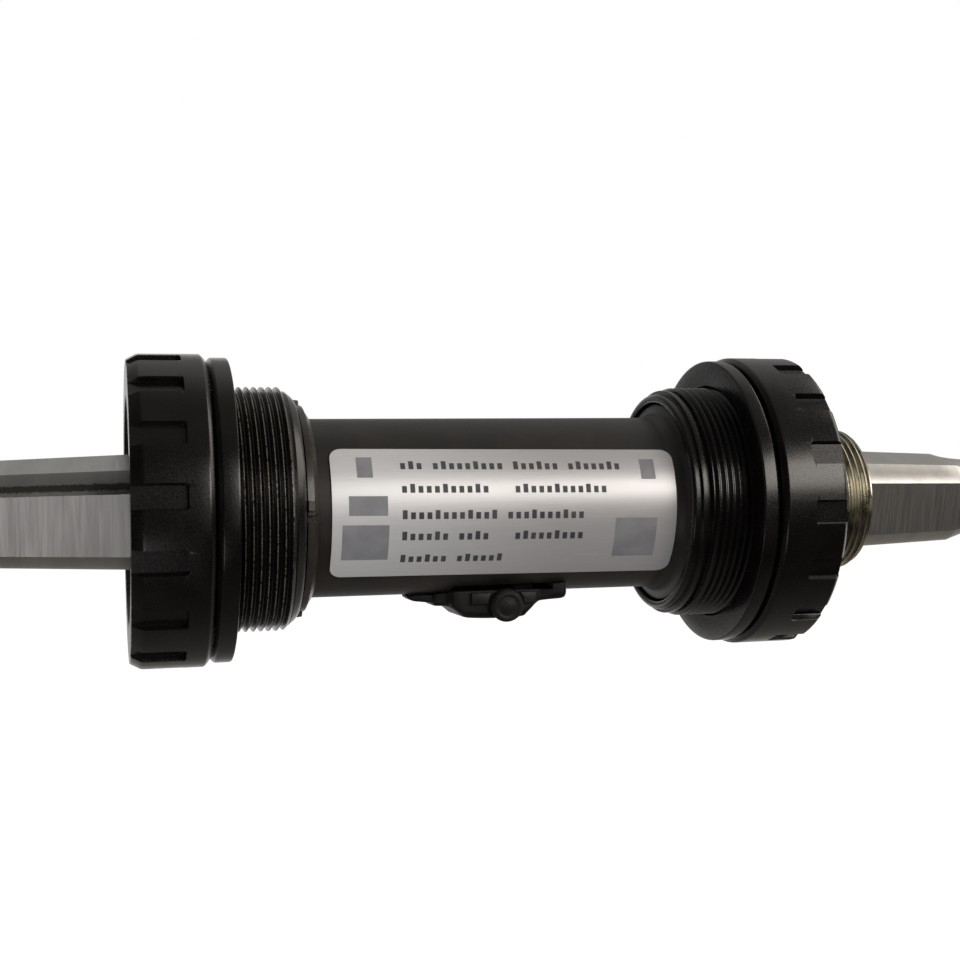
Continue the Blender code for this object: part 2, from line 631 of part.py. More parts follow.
def label(mat):
    """The sticker: a thin curved plate with rounded corners."""
    r0 = D["tube_r"] + LABEL_CLEAR
    r1 = r0 + LABEL_THICK
    middle = math.radians(LABEL_TOP_DEG + LABEL_BOTTOM_DEG) / 2
    half = math.radians(LABEL_TOP_DEG - LABEL_BOTTOM_DEG) / 2 * r1
    corner = [(0.0, 1.0), (0.13, 0.5), (0.5, 0.13), (1.0, 0.0)]
    left, right = D["label_left"], D["label_right"]
    xs = [left + LABEL_CORNER * f for f, _ in corner]
    ys = [half - LABEL_CORNER * f for _, f in corner]
    xs += [right - LABEL_CORNER * f for f, _ in corner[::-1]]
    ys += ys[::-1]
    verts, faces = [], []
    steps = 12
    for x, y in zip(xs, ys):
        drift = LABEL_DRIFT_DEG * ((x - left) / (right - left) - 0.5)
        for i in range(steps + 1):
            t = math.degrees(middle + (2 * i / steps - 1) * y / r1) + drift
            verts += [around(x, r0, t), around(x, r1, t)]
    n = 2 * (steps + 1)
    for k in range(len(xs) - 1):
        for i in range(steps):
            a, b = k * n + 2 * i, (k + 1) * n + 2 * i
            faces += [(a, a + 2, b + 2, b), (a + 1, b + 1, b + 3, a + 3)]
        a, b = k * n, (k + 1) * n
        faces.append((a, b, b + 1, a + 1))
        a, b = a + n - 2, b + n - 2
        faces.append((a, a + 1, b + 1, b))
    for a in (0, (len(xs) - 1) * n):
        for i in range(steps):
            faces.append((a + 2 * i, a + 2 * i + 1, a + 2 * i + 3, a + 2 * i + 2))
    return add_object("rating_label", verts, faces, mat)


def cover_section(x, drop, half):
    """One section of the moulding: its hollow top lies along the tube, its edges are round."""
    seat = D["tube_r"] + CLEAR
    low = -(D["tube_r"] + drop)
    side = -math.sqrt(seat ** 2 - half ** 2)
    r = min(COVER_ROUND, (side - low) * 0.45)
    points = [(-half, side), (-half, low + r), (-half + 0.3 * r, low + 0.3 * r),
              (-half + r, low), (half - r, low), (half - 0.3 * r, low + 0.3 * r),
              (half, low + r), (half, side)]
    for i in range(1, 6):
        y = half - 2 * half * i / 6
        points.append((y, -math.sqrt(seat ** 2 - y ** 2)))
    return [(x * MM, y * MM, z * MM) for y, z in points]


def outlet_cover(mat):
    """The moulding under the tube, with its pads, its pockets and the plug's bore."""
    rows = [cover_section(*section) for section in COVER_LINE]
    verts, faces = rows_mesh(rows, False)
    n = len(rows[0])
    faces += [tuple(range(n)), tuple(len(verts) - n + i for i in range(n))]
    cover = add_object("outlet_cover", verts, faces, mat)
    near = -COVER_HALF
    pads = [box(f"pad_{k}", (c - PAD_WIDTH / 2, c + PAD_WIDTH / 2), (near - PAD_PROUD, near + 0.9),
                (-(D["tube_r"] + PAD_DROP), -(D["tube_r"] + PAD_TOP)), mat)
            for k, c in enumerate(PADS_AT)]
    combine(cover, pads, "UNION")
    inside = COVER_HALF - COVER_WALL
    x0, x1 = D["window_board"], WINDOW_RIGHT - CLEAR - COVER_WALL
    sill = -(D["tube_r"] + COVER_SILL)
    neck, head = PLUG_NECK + CLEAR, PLUG_R + CLEAR
    cutters = [plug_solid("plug_cutter", [(-PLUG_LENGTH - CLEAR, neck), (0.0, neck),
                                          (0.0, head), (2.5, head)], mat),
               box("sill_cutter", (WINDOW_LEFT, WINDOW_RIGHT), (-2 * COVER_HALF, CLEAR - inside),
                   (sill, 0.0), mat),
               box("deep_pocket_cutter", (-POCKET_IN, POCKET_OUT), (-inside, inside),
                   (-(D["tube_r"] + POCKET_DROP), -D["tube_r"] / 2), mat),
               box("pocket_cutter", (x0, x1), (-inside, inside),
                   (board_top() - BOARD_THICK - CLEAR, 0.0), mat)]
    combine(cover, cutters, "DIFFERENCE")
    return cover


def plug_solid(name, profile, mat):
    """A round solid of (along, radius) points on the leaning axis of the outlet."""
    t = math.radians(PLUG_LEAN_DEG)
    axis = Vector((0.0, -math.cos(t), -math.sin(t)))
    across = Vector((1.0, 0.0, 0.0))
    up = axis.cross(across)
    mouth = Vector((PLUG_AT, -COVER_HALF, -(D["tube_r"] + PLUG_DROP)))
    sides = 20
    rows = [[tuple(mouth + axis * profile[0][0])]]
    for s, r in profile:
        rows.append([tuple(mouth + axis * s + across * (r * math.cos(2 * math.pi * k / sides))
                           + up * (r * math.sin(2 * math.pi * k / sides))) for k in range(sides)])
    rows.append([tuple(mouth + axis * profile[-1][0])])
    rows = [[tuple(c * MM for c in p) for p in row] for row in rows]
    return add_object(name, *rows_mesh(rows, False), mat)


def outlet_plug(mat):
    """The plug that closes the moulding's mouth: a neck in the wall and a round head."""
    back, face = CLEAR, CLEAR + PLUG_HEAD
    plug_solid("outlet_plug", [(-PLUG_LENGTH, PLUG_NECK), (back, PLUG_NECK), (back, PLUG_R),
                               (face, PLUG_R), (face + PLUG_EDGE, PLUG_R - PLUG_EDGE),
                               (face + PLUG_EDGE + PLUG_DOME, PLUG_R * 0.4)], mat)


def board_top():
    """Height of the circuit board's upper face."""
    return -(D["tube_bore"] + BOARD_DROP + SENSOR_CHIP_HIGH)


def electronics(board_mat, chip_mat):
    """The board in the outlet's pocket, with its two chips."""
    half = COVER_HALF - COVER_WALL - CLEAR
    x0 = D["window_board"] + CLEAR
    x1 = WINDOW_RIGHT - COVER_WALL - 2 * CLEAR
    top = board_top()
    box("circuit_board", (x0, x1), (-half, half), (top - BOARD_THICK, top), board_mat)
    x = MAGNET_LEFT + MAGNET_WIDTH / 2
    box("sensor_chip", (x - SENSOR_CHIP / 2, x + SENSOR_CHIP / 2),
        (-SENSOR_CHIP / 2, SENSOR_CHIP / 2), (top + SENSOR_CHIP_SINK,
                                              top + SENSOR_CHIP_SINK + SENSOR_CHIP_HIGH), chip_mat)
    low = top - BOARD_THICK - SENSOR_CHIP_SINK
    x = -POCKET_IN + 2 * CLEAR
    box("control_chip", (x, x + CONTROL_CHIP), (CLEAR, CLEAR + CONTROL_CHIP * 0.9),
        (low - CONTROL_CHIP_HIGH, low), chip_mat)


def clear_scene():
    """Start from an empty scene."""
    for obj in list(bpy.data.objects):
        bpy.data.objects.remove(obj, do_unlink=True)


clear_scene()
MATS = {
    "black_anodised": material("black_anodised", (0.018, 0.015, 0.013), 0.9, 0.42),
    "spindle_steel": material("spindle_steel", (0.48, 0.48, 0.47), 1.0, 0.34),
    "plated_steel": material("plated_steel", (0.38, 0.36, 0.29), 1.0, 0.3),
    "bearing_steel": material("bearing_steel", (0.55, 0.55, 0.55), 1.0, 0.2),
    "rubber": material("rubber", (0.02, 0.02, 0.02), 0.0, 0.75),
    "moulded_black": material("moulded_black", (0.035, 0.035, 0.035), 0.0, 0.55),
    "silver_film": material("silver_film", (0.6, 0.6, 0.61), 0.5, 0.35),
    "magnet_ferrite": material("magnet_ferrite", (0.05, 0.05, 0.055), 0.3, 0.6),
    "bobbin_nylon": material("bobbin_nylon", (0.5, 0.48, 0.42), 0.0, 0.5),
    "coil_copper": material("coil_copper", (0.55, 0.22, 0.09), 1.0, 0.35),
    "board_green": material("board_green", (0.02, 0.13, 0.06), 0.0, 0.45),
    "chip_black": material("chip_black", (0.02, 0.02, 0.022), 0.0, 0.5),
    "bush_polymer": material("bush_polymer", (0.3, 0.26, 0.16), 0.0, 0.5),
}

housing_tube(MATS["black_anodised"])
label(MATS["silver_film"])
outlet_cover(MATS["moulded_black"])
outlet_plug(MATS["rubber"])
electronics(MATS["board_green"], MATS["chip_black"])
coils(MATS["bobbin_nylon"], MATS["coil_copper"])
ring("left_bush", D["left_bush"], D["left_bush"] + BUSH_WIDTH, CORE_R + CLEAR,
     D["tube_bore"] - CLEAR, MATS["bush_polymer"], SMALL_SIDES, -1)
ring("right_bush", D["right_bush"], D["right_bush"] + BUSH_WIDTH, D["torsion_r"] + CLEAR,
     D["tube_bore"] - CLEAR, MATS["bush_polymer"], SMALL_SIDES)

spindle(MATS["spindle_steel"])
torque_sleeve(MATS["plated_steel"])
ring("sleeve_circlip", D["sleeve_left"] + CLEAR, D["sleeve_left"] + CLEAR + CIRCLIP_WIDTH,
     CORE_R - CIRCLIP_BITE + CLEAR, CORE_R - CIRCLIP_BITE + CIRCLIP_HIGH,
     MATS["bearing_steel"], SMALL_SIDES, -1)
ring("magnet_ring", MAGNET_LEFT, MAGNET_LEFT + MAGNET_WIDTH, D["torsion_r"] + CLEAR,
     D["torsion_r"] + CLEAR + MAGNET_THICK, MATS["magnet_ferrite"], SMALL_SIDES)
bearing("left", -1, D["journal_r"], D["left_bearing_r"], LEFT_BALLS, LEFT_BALL_R,
        MATS["bearing_steel"], MATS["bearing_steel"])
bearing("right", 1, D["seat_r"], D["right_bearing_r"], RIGHT_BALLS, RIGHT_BALL_R,
        MATS["bearing_steel"], MATS["bearing_steel"])

left_cup(MATS["black_anodised"])
right_cup(MATS["black_anodised"])
spacer("left_spacer", LEFT_SPACER_WIDTH, -1, MATS["black_anodised"])
spacer("right_spacer", RIGHT_SPACER_WIDTH, 1, MATS["black_anodised"])
nose_ring(MATS["moulded_black"])
seal("left_seal", -1, D["left_bearing_r"], D["journal_r"], MATS["rubber"])
seal("right_seal", 1, D["right_bearing_r"], D["nose_r"], MATS["rubber"])
o_ring("left_o_ring", D["left_o_ring"], D["cup_bore"], MATS["rubber"], -1)
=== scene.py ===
"""Looks of the bottom bracket torque sensor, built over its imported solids.

Lengths in the classes are millimetres in the solids' frame: X along the spindle to the drive side,
Z up, the label facing -Y. A distance "out" runs from the middle of the shell to either end, and an
angle about X starts at -Y and turns upward.
"""
import logging
import math
from dataclasses import dataclass, field
from enum import Enum
from itertools import cycle

import bmesh
import bpy
from mathutils import Matrix, Vector


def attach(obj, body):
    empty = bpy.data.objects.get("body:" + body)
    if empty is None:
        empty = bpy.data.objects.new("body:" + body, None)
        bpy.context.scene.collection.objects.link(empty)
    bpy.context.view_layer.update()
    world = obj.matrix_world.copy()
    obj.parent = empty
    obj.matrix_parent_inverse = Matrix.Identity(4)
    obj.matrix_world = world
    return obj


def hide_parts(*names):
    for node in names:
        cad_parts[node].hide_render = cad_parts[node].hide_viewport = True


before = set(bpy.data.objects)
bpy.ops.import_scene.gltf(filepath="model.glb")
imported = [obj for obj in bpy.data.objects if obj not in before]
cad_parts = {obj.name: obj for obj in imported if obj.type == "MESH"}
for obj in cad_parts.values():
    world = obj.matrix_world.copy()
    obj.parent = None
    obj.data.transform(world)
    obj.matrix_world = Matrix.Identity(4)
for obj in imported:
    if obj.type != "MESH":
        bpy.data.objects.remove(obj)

LOG = logging.getLogger("torque_sensor")
MM = 0.001
Point = tuple[float, float, float]
Row = list[Point]
Pair = tuple[float, float]
Tree = bpy.types.NodeTree
Node = bpy.types.Node
Object = bpy.types.Object
Material = bpy.types.Material
Mesh = bpy.types.Mesh


class Side(Enum):
    """Which end of the spindle a piece is on."""

    LEFT = -1
    RIGHT = 1

    def named(self, piece: str) -> str:
        """Give a piece's name with its side in front."""
        return f"{self.name.lower()}_{piece}"


class Hand(Enum):
    """Which way a screw thread winds."""

    RIGHT = 1
    LEFT = -1


# ---------------------------------------------------------------- meshes


def around(x: float, r: float, deg: float) -> Point:
    """Place a point at a distance from the axis.

    Args:
        x: millimetres along the axis.
        r: millimetres from the axis.
        deg: angle from the label side upward.

    Returns:
        The point in metres.
    """
    t = math.radians(deg)
    return (x * MM, -r * math.cos(t) * MM, r * math.sin(t) * MM)


@dataclass
class Shell:
    """Vertices and faces of one piece while it is put together."""

    verts: list[Point] = field(default_factory=list)
    faces: list[tuple[int, ...]] = field(default_factory=list)

    def add_rows(self, rows: list[Row], closed: bool = False, loop: bool = True) -> None:
        """Join rows of points into quads.

        Args:
            rows: rows of equal length, or of one point for an end on the axis.
            closed: join the last row to the first.
            loop: join each row's last point to its first.
        """
        starts = []
        for row in rows:
            starts.append(len(self.verts))
            self.verts.extend(row)
        pairs = list(zip(range(len(rows) - 1), range(1, len(rows))))
        if closed:
            pairs.append((len(rows) - 1, 0))
        for i, j in pairs:
            n = max(len(rows[i]), len(rows[j]))
            for k in range(n if loop else n - 1):
                k2 = (k + 1) % n
                one, two = starts[i], starts[j]
                if len(rows[i]) == 1:
                    self.faces.append((one, two + k2, two + k))
                elif len(rows[j]) == 1:
                    self.faces.append((one + k, one + k2, two))
                else:
                    self.faces.append((one + k, one + k2, two + k2, two + k))

    def add_cap(self, first: int, count: int) -> None:
        """Close a loop of vertices with one face."""
        self.faces.append(tuple(range(first, first + count)))

    def add_prism(self, rows: list[Row]) -> None:
        """Join rows of points and close both ends."""
        first = len(self.verts)
        self.add_rows(rows)
        n = len(rows[0])
        self.add_cap(first, n)
        self.add_cap(len(self.verts) - n, n)

    def to_object(self, name: str, sharp: float = 32.0) -> Object:
        """Make the mesh object, merged, with outward faces.

        Args:
            name: the object's name.
            sharp: edges that turn by more degrees than this stay sharp.

        Returns:
            The object, linked to the scene.
        """
        mesh = bpy.data.meshes.new(name)
        mesh.from_pydata(self.verts, [], self.faces)
        return mesh_object(name, mesh, sharp)


def placed(name: str, data: bpy.types.ID) -> Object:
    """Put a mesh, a lamp or a camera into the scene as an object."""
    obj = bpy.data.objects.new(name, data)
    bpy.context.scene.collection.objects.link(obj)
    return obj


def stored(name: str, bm: bmesh.types.BMesh) -> Mesh:
    """Turn a working mesh into a stored one and free it."""
    mesh = bpy.data.meshes.new(name)
    bm.to_mesh(mesh)
    bm.free()
    return mesh


def fillets(corners: list[Point], closed: bool, steps: int = 4) -> list[Pair]:
    """Round the corners of a turned profile.

    Args:
        corners: (out, radius, rounding) of each corner in millimetres.
        closed: whether the profile is a closed loop.
        steps: pieces in each rounding's arc.

    Returns:
        The profile's (out, radius) points.
    """
    points: list[Pair] = []
    n = len(corners)
    for i, (x, r, size) in enumerate(corners):
        if size <= 0 or (not closed and i in (0, n - 1)):
            points.append((x, r))
            continue
        here = Vector((x, r))
        before = Vector(corners[i - 1][:2]) - here
        after = Vector(corners[(i + 1) % n][:2]) - here
        cut = min(size, before.length * 0.49, after.length * 0.49)
        a, b = here + before.normalized() * cut, here + after.normalized() * cut
        for k in range(steps + 1):
            t = k / steps
            p = a * (1 - t) ** 2 + here * 2 * t * (1 - t) + b * t * t
            points.append((p.x, p.y))
    return points


def turned(shell: Shell, profile: list[Pair], side: Side, sides: int = 160) -> None:
    """Add a closed profile turned about the axis.

    Args:
        shell: the piece it is added to.
        profile: closed (out, radius) points.
        side: the end of the spindle it is on.
        sides: columns round the axis.
    """
    angles = [360.0 * k / sides for k in range(sides)]
    shell.add_rows([[around(side.value * x, r, a) for a in angles] for x, r in profile], closed=True)


@dataclass(frozen=True)
class ScrewThread:
    """A cut thread on a cylinder, or in a bore where its depth is negative.

    The tooth is a flat crest, a straight flank, a flat root and a flank back. A rise is how far its
    crests are turned down at an end of the thread, over the same length.
    """

    start: float
    end: float
    crest: float
    depth: float
    pitch: float
    hand: Hand
    lead: float = 0.0
    rise_in: float = 0.0
    rise_out: float = 0.0
    slope: float = 1.0
    wall: float = 0.3
    sides: int = 160
    tooth: tuple[Pair, ...] = (
        (0.0, 0.06), (0.03, 0.0), (0.13, 0.0), (0.16, 0.06), (0.5, 1.0), (0.64, 1.0), (1.0, 0.06))

    def radius(self, x: float, phase: float) -> float:
        """Give the thread's surface at one place.

        Args:
            x: distance out.
            phase: place within one pitch, from 0 to 1.

        Returns:
            Distance from the axis.
        """
        deep = 0.0
        for (p0, d0), (p1, d1) in zip(self.tooth, self.tooth[1:]):
            if phase <= p1:
                deep = d0 + (d1 - d0) * (phase - p0) / (p1 - p0)
                break
        cut_in = max(0.0, self.start + self.rise_in - x) * self.slope
        cut_out = max(0.0, x - self.end + self.rise_out)
        r = self.crest - self.depth * deep
        return min(r, self.crest - max(cut_in, cut_out)) if cut_in or cut_out else r

    def add_to(self, shell: Shell, side: Side) -> None:
        """Add the thread as a closed ring of its own.

        Args:
            shell: the piece it is added to.
            side: the end of the spindle it is on.
        """
        turns = math.ceil((self.end - self.start) / self.pitch) + 1
        angles = [360.0 * k / self.sides for k in range(self.sides + 1)]
        wind = -self.hand.value * side.value
        hidden = self.crest - self.depth - math.copysign(self.wall, self.depth)
        rows: list[Row] = [[around(side.value * self.start, hidden, a) for a in angles]]
        for n in range(-1, turns + 1):
            for p, _ in self.tooth[:-1]:
                row = []
                for a in angles:
                    x = self.start + self.pitch * (n + p + self.lead + wind * (a / 360.0 - 0.5))
                    inside = min(max(x, self.start), self.end)
                    phase = (p + (inside - x) / self.pitch) % 1.0
                    row.append(around(side.value * inside, self.radius(inside, phase), a))
                rows.append(row)
        rows.append([around(side.value * self.end, hidden, a) for a in angles])
        shell.add_rows(rows, closed=True, loop=False)


def ring_of(piece: Object, count: int, phase: float) -> Object:
    """Repeat a sector about the X axis with Geometry Nodes and make the result a plain mesh.

    Args:
        piece: the sector, which is used up.
        count: how many go round.
        phase: angle of the first one, in degrees about +X.

    Returns:
        The finished ring under the sector's name.
    """
    tree = bpy.data.node_groups.new("ring_of_sectors", "GeometryNodeTree")
    sockets = {}
    for label, kind in (("Sector", "NodeSocketGeometry"), ("Count", "NodeSocketInt"),
                        ("Phase", "NodeSocketFloat"), ("Material", "NodeSocketMaterial")):
        sockets[label] = tree.interface.new_socket(label, in_out="INPUT", socket_type=kind)
    tree.interface.new_socket("Ring", in_out="OUTPUT", socket_type="NodeSocketGeometry")
    source = add(tree, "NodeGroupInput")
    points = add(tree, "GeometryNodePoints", links={"Count": (source, "Count")})
    index = add(tree, "GeometryNodeInputIndex")
    step = calc(tree, "DIVIDE", 2 * math.pi, (source, "Count"))
    turn = calc(tree, "MULTIPLY_ADD", (index, "Index"), (step, "Value"), (source, "Phase"))
    angles = add(tree, "ShaderNodeCombineXYZ", links={"X": (turn, "Value")})
    rotation = add(tree, "FunctionNodeEulerToRotation", links={"Euler": (angles, "Vector")})
    placed = add(tree, "GeometryNodeInstanceOnPoints", links={
        "Points": (points, "Points"), "Instance": (source, "Sector"), "Rotation": (rotation, "Rotation")})
    real = add(tree, "GeometryNodeRealizeInstances", links={"Geometry": (placed, "Instances")})
    merged = add(tree, "GeometryNodeMergeByDistance", {"Distance": 1e-6}, {"Geometry": (real, "Geometry")})
    finish = add(tree, "GeometryNodeSetMaterial", links={
        "Geometry": (merged, "Geometry"), "Material": (source, "Material")})
    add(tree, "NodeGroupOutput", links={"Ring": (finish, "Geometry")})
    modifier = piece.modifiers.new("ring", "NODES")
    modifier.node_group = tree
    modifier[sockets["Count"].identifier] = count
    modifier[sockets["Phase"].identifier] = math.radians(phase)
    name = piece.name
    mesh = bpy.data.meshes.new_from_object(piece.evaluated_get(bpy.context.evaluated_depsgraph_get()))
    bpy.data.objects.remove(piece)
    bpy.data.node_groups.remove(tree)
    return mesh_object(name, mesh)


def mesh_object(name: str, mesh: Mesh, sharp: float = 32.0, merge: bool = True) -> Object:
    """Put a mesh into the scene, shaded smooth but for its sharp edges.

    Args:
        name: the object's name.
        mesh: its mesh, which takes the same name.
        sharp: edges that turn by more degrees than this stay sharp.
        merge: merge double points and turn the faces outward.

    Returns:
        The object, linked to the scene.
    """
    if merge:
        bm = bmesh.new()
        bm.from_mesh(mesh)
        bmesh.ops.remove_doubles(bm, verts=bm.verts, dist=2e-7)
        bmesh.ops.recalc_face_normals(bm, faces=bm.faces)
        bm.to_mesh(mesh)
        bm.free()
    mesh.polygons.foreach_set("use_smooth", [True] * len(mesh.polygons))
    mesh.set_sharp_from_angle(angle=math.radians(sharp))
    mesh.name = name
    return placed(name, mesh)


def joined(name: str, parts: list[Object], sharp: float = 32.0) -> Object:
    """Join objects that sit at the origin into one new object, and remove them."""
    bm = bmesh.new()
    for part in parts:
        bm.from_mesh(part.data)
        bpy.data.objects.remove(part)
    return mesh_object(name, stored(name, bm), sharp, merge=False)


def cut(obj: Object, cutters: list[Object]) -> Object:
    """Cut closed objects out of another and make the result plain.

    Args:
        obj: the object that is cut, which is used up.
        cutters: the objects cut out of it, which are used up.

    Returns:
        The cut object under the same name.
    """
    for cutter in cutters:
        modifier = obj.modifiers.new("cut", "BOOLEAN")
        modifier.operation = "DIFFERENCE"
        modifier.solver = "EXACT"
        modifier.object = cutter
    mesh = bpy.data.meshes.new_from_object(obj.evaluated_get(bpy.context.evaluated_depsgraph_get()))
    name = obj.name
    for used in (obj, *cutters):
        bpy.data.objects.remove(used)
    return mesh_object(name, mesh)


def rounded_box(name: str, low: Point, high: Point, edge: float) -> Object:
    """Make a box with rounded edges.

    Args:
        name: the object's name.
        low: lowest corner in millimetres.
        high: highest corner in millimetres.
        edge: rounding in millimetres, or 0 for a plain cutter.

    Returns:
        The box.
    """
    bm = bmesh.new()
    bmesh.ops.create_cube(bm, size=1.0)
    for v in bm.verts:
        v.co = Vector([(low[i] if v.co[i] < 0 else high[i]) * MM for i in range(3)])
    if edge:
        bmesh.ops.bevel(bm, geom=list(bm.edges), offset=edge * MM, segments=3, profile=0.5, affect="EDGES")
    return mesh_object(name, stored(name, bm))


# ---------------------------------------------------------------- finishes


def linear(code: str) -> tuple[float, float, float, float]:
    """Turn an sRGB hex colour into Blender's linear one."""
    channels = [int(code[i:i + 2], 16) / 255 for i in (1, 3, 5)]
    return (*[c / 12.92 if c <= 0.04045 else ((c + 0.055) / 1.055) ** 2.4 for c in channels], 1.0)


def add(tree: Tree, kind: str, settings: dict | None = None,
        links: dict | None = None) -> Node:
    """Add a node.

    Args:
        tree: the node tree.
        kind: the node's type.
        settings: properties by name, and inputs' values by name or number.
        links: for each input, the node and output that feed it.

    Returns:
        The node.
    """
    node = tree.nodes.new(kind)
    for key, value in (settings or {}).items():
        if isinstance(key, str) and hasattr(node, key):
            setattr(node, key, value)
    for key, value in (settings or {}).items():
        if not (isinstance(key, str) and hasattr(node, key)):
            node.inputs[key].default_value = value
    for key, (source, output) in (links or {}).items():
        tree.links.new(source.outputs[output], node.inputs[key])
    return node


def calc(tree: Tree, operation: str, *inputs: object) -> Node:
    """Add a maths node.

    Args:
        tree: the node tree.
        operation: what it does.
        *inputs: its inputs in order, each a number or a (node, output) pair.

    Returns:
        The node, whose output is Value.
    """
    numbers = {i: value for i, value in enumerate(inputs) if not isinstance(value, tuple)}
    pairs = {i: value for i, value in enumerate(inputs) if isinstance(value, tuple)}
    return add(tree, "ShaderNodeMath", {"operation": operation, **numbers}, pairs)


class Coordinates:
    """Places on a piece in millimetres, read from its Object coordinates."""

    def __init__(self, tree: Tree) -> None:
        """Add the nodes that give x, the distance from the axis and the plain point."""
        self.tree = tree
        raw = add(tree, "ShaderNodeTexCoord")
        self.point = add(tree, "ShaderNodeVectorMath", {"operation": "SCALE", "Scale": 1000.0},
                         {0: (raw, "Object")})
        self.parts = add(tree, "ShaderNodeSeparateXYZ", links={0: (self.point, "Vector")})
        flat = add(tree, "ShaderNodeCombineXYZ", links={"Y": (self.parts, "Y"), "Z": (self.parts, "Z")})
        self.radius = add(tree, "ShaderNodeVectorMath", {"operation": "LENGTH"}, {0: (flat, "Vector")})

    def noise(self, scale: float, detail: float, rough: float, place: Node) -> Node:
        """Add noise over a vector of millimetres."""
        return add(self.tree, "ShaderNodeTexNoise", {"Scale": scale, "Detail": detail, "Roughness": rough},
                   {"Vector": (place, "Vector")})

    def grain(self, size: float, detail: float = 2.0, rough: float = 0.5) -> Node:
        """Add even noise with grains of a size in millimetres."""
        return self.noise(1.0 / size, detail, rough, self.point)

    def lathe_marks(self, size: float) -> Node:
        """Add noise that only changes along the axis and outward, as turning leaves it."""
        place = add(self.tree, "ShaderNodeCombineXYZ",
                    links={"X": (self.parts, "X"), "Y": (self.radius, "Value")})
        return self.noise(1.0 / size, 3.0, 0.6, place)

    def stretched(self, along: Point, detail: float = 3.0) -> Node:
        """Add noise stretched by a size in millimetres for each axis."""
        place = add(self.tree, "ShaderNodeVectorMath",
                    {"operation": "MULTIPLY", 1: tuple(1.0 / a for a in along)}, {0: (self.point, "Vector")})
        return self.noise(1.0, detail, 0.6, place)


def ramp(tree: Tree, source: Node, output: str, low: float, high: float,
         to_low: float = 0.0, to_high: float = 1.0) -> Node:
    """Spread a value's range over another, smoothly and without going past its ends."""
    return add(tree, "ShaderNodeMapRange",
               {"interpolation_type": "SMOOTHSTEP", "From Min": low, "From Max": high,
                "To Min": to_low, "To Max": to_high}, {"Value": (source, output)})


def spread(tree: Tree, noise: Node, to_low: float = 0.0,
           to_high: float = 1.0) -> Node:
    """Spread the range that most of a noise lies in over another."""
    return ramp(tree, noise, "Fac", 0.3, 0.7, to_low, to_high)


def blend(tree: Tree, mask: Node, low: str, high: str,
          output: str = "Result") -> Node:
    """Mix two hex colours by a mask."""
    return add(tree, "ShaderNodeMix", {"data_type": "RGBA", 6: linear(low), 7: linear(high)},
               {0: (mask, output)})


def cover(tree: Tree, mask: Node, tone: Node, colour: str) -> Node:
    """Cover a tone with a hex colour where a mask is 1."""
    return add(tree, "ShaderNodeMix", {"data_type": "RGBA", 7: linear(colour)}, {0: (mask, "Value"), 6: (tone, 2)})


def new_material(name: str) -> tuple[Material, Tree, Node, Coordinates]:
    """Start a material.

    Args:
        name: its name.

    Returns:
        The material, its tree, its Principled shader and the places on the piece.
    """
    material = bpy.data.materials.new(name)
    material.use_nodes = True
    tree = material.node_tree
    return material, tree, tree.nodes["Principled BSDF"], Coordinates(tree)


def set_sockets(shader: Node, **values: float) -> None:
    """Set a shader's own sockets: Base_Color stands for Base Color."""
    for key, value in values.items():
        shader.inputs[key.replace("_", " ")].default_value = value


def paint(tree: Tree, shader: Node, tone: Node, gloss: Node,
          **values: float) -> None:
    """Feed a shader's colour and roughness from nodes, and set its other sockets."""
    tree.links.new(tone.outputs[2], shader.inputs["Base Color"])
    tree.links.new(gloss.outputs["Result"], shader.inputs["Roughness"])
    set_sockets(shader, **values)


def bump(tree: Tree, shader: Node, height: Node, output: str,
         strength: float, depth: float, under: Node | None = None) -> Node:
    """Raise the surface by a pattern.

    Args:
        tree: the material's tree.
        shader: the shader whose normal it sets.
        height: the node that gives the height.
        output: the height's output.
        strength: how strongly it counts.
        depth: full height in millimetres.
        under: a bump that this one lies on.

    Returns:
        The bump node.
    """
    node = add(tree, "ShaderNodeBump", {"Strength": strength, "Distance": depth * MM}, {"Height": (height, output)})
    if under is not None:
        tree.links.new(under.outputs["Normal"], node.inputs["Normal"])
    tree.links.new(node.outputs["Normal"], shader.inputs["Normal"])
    return node


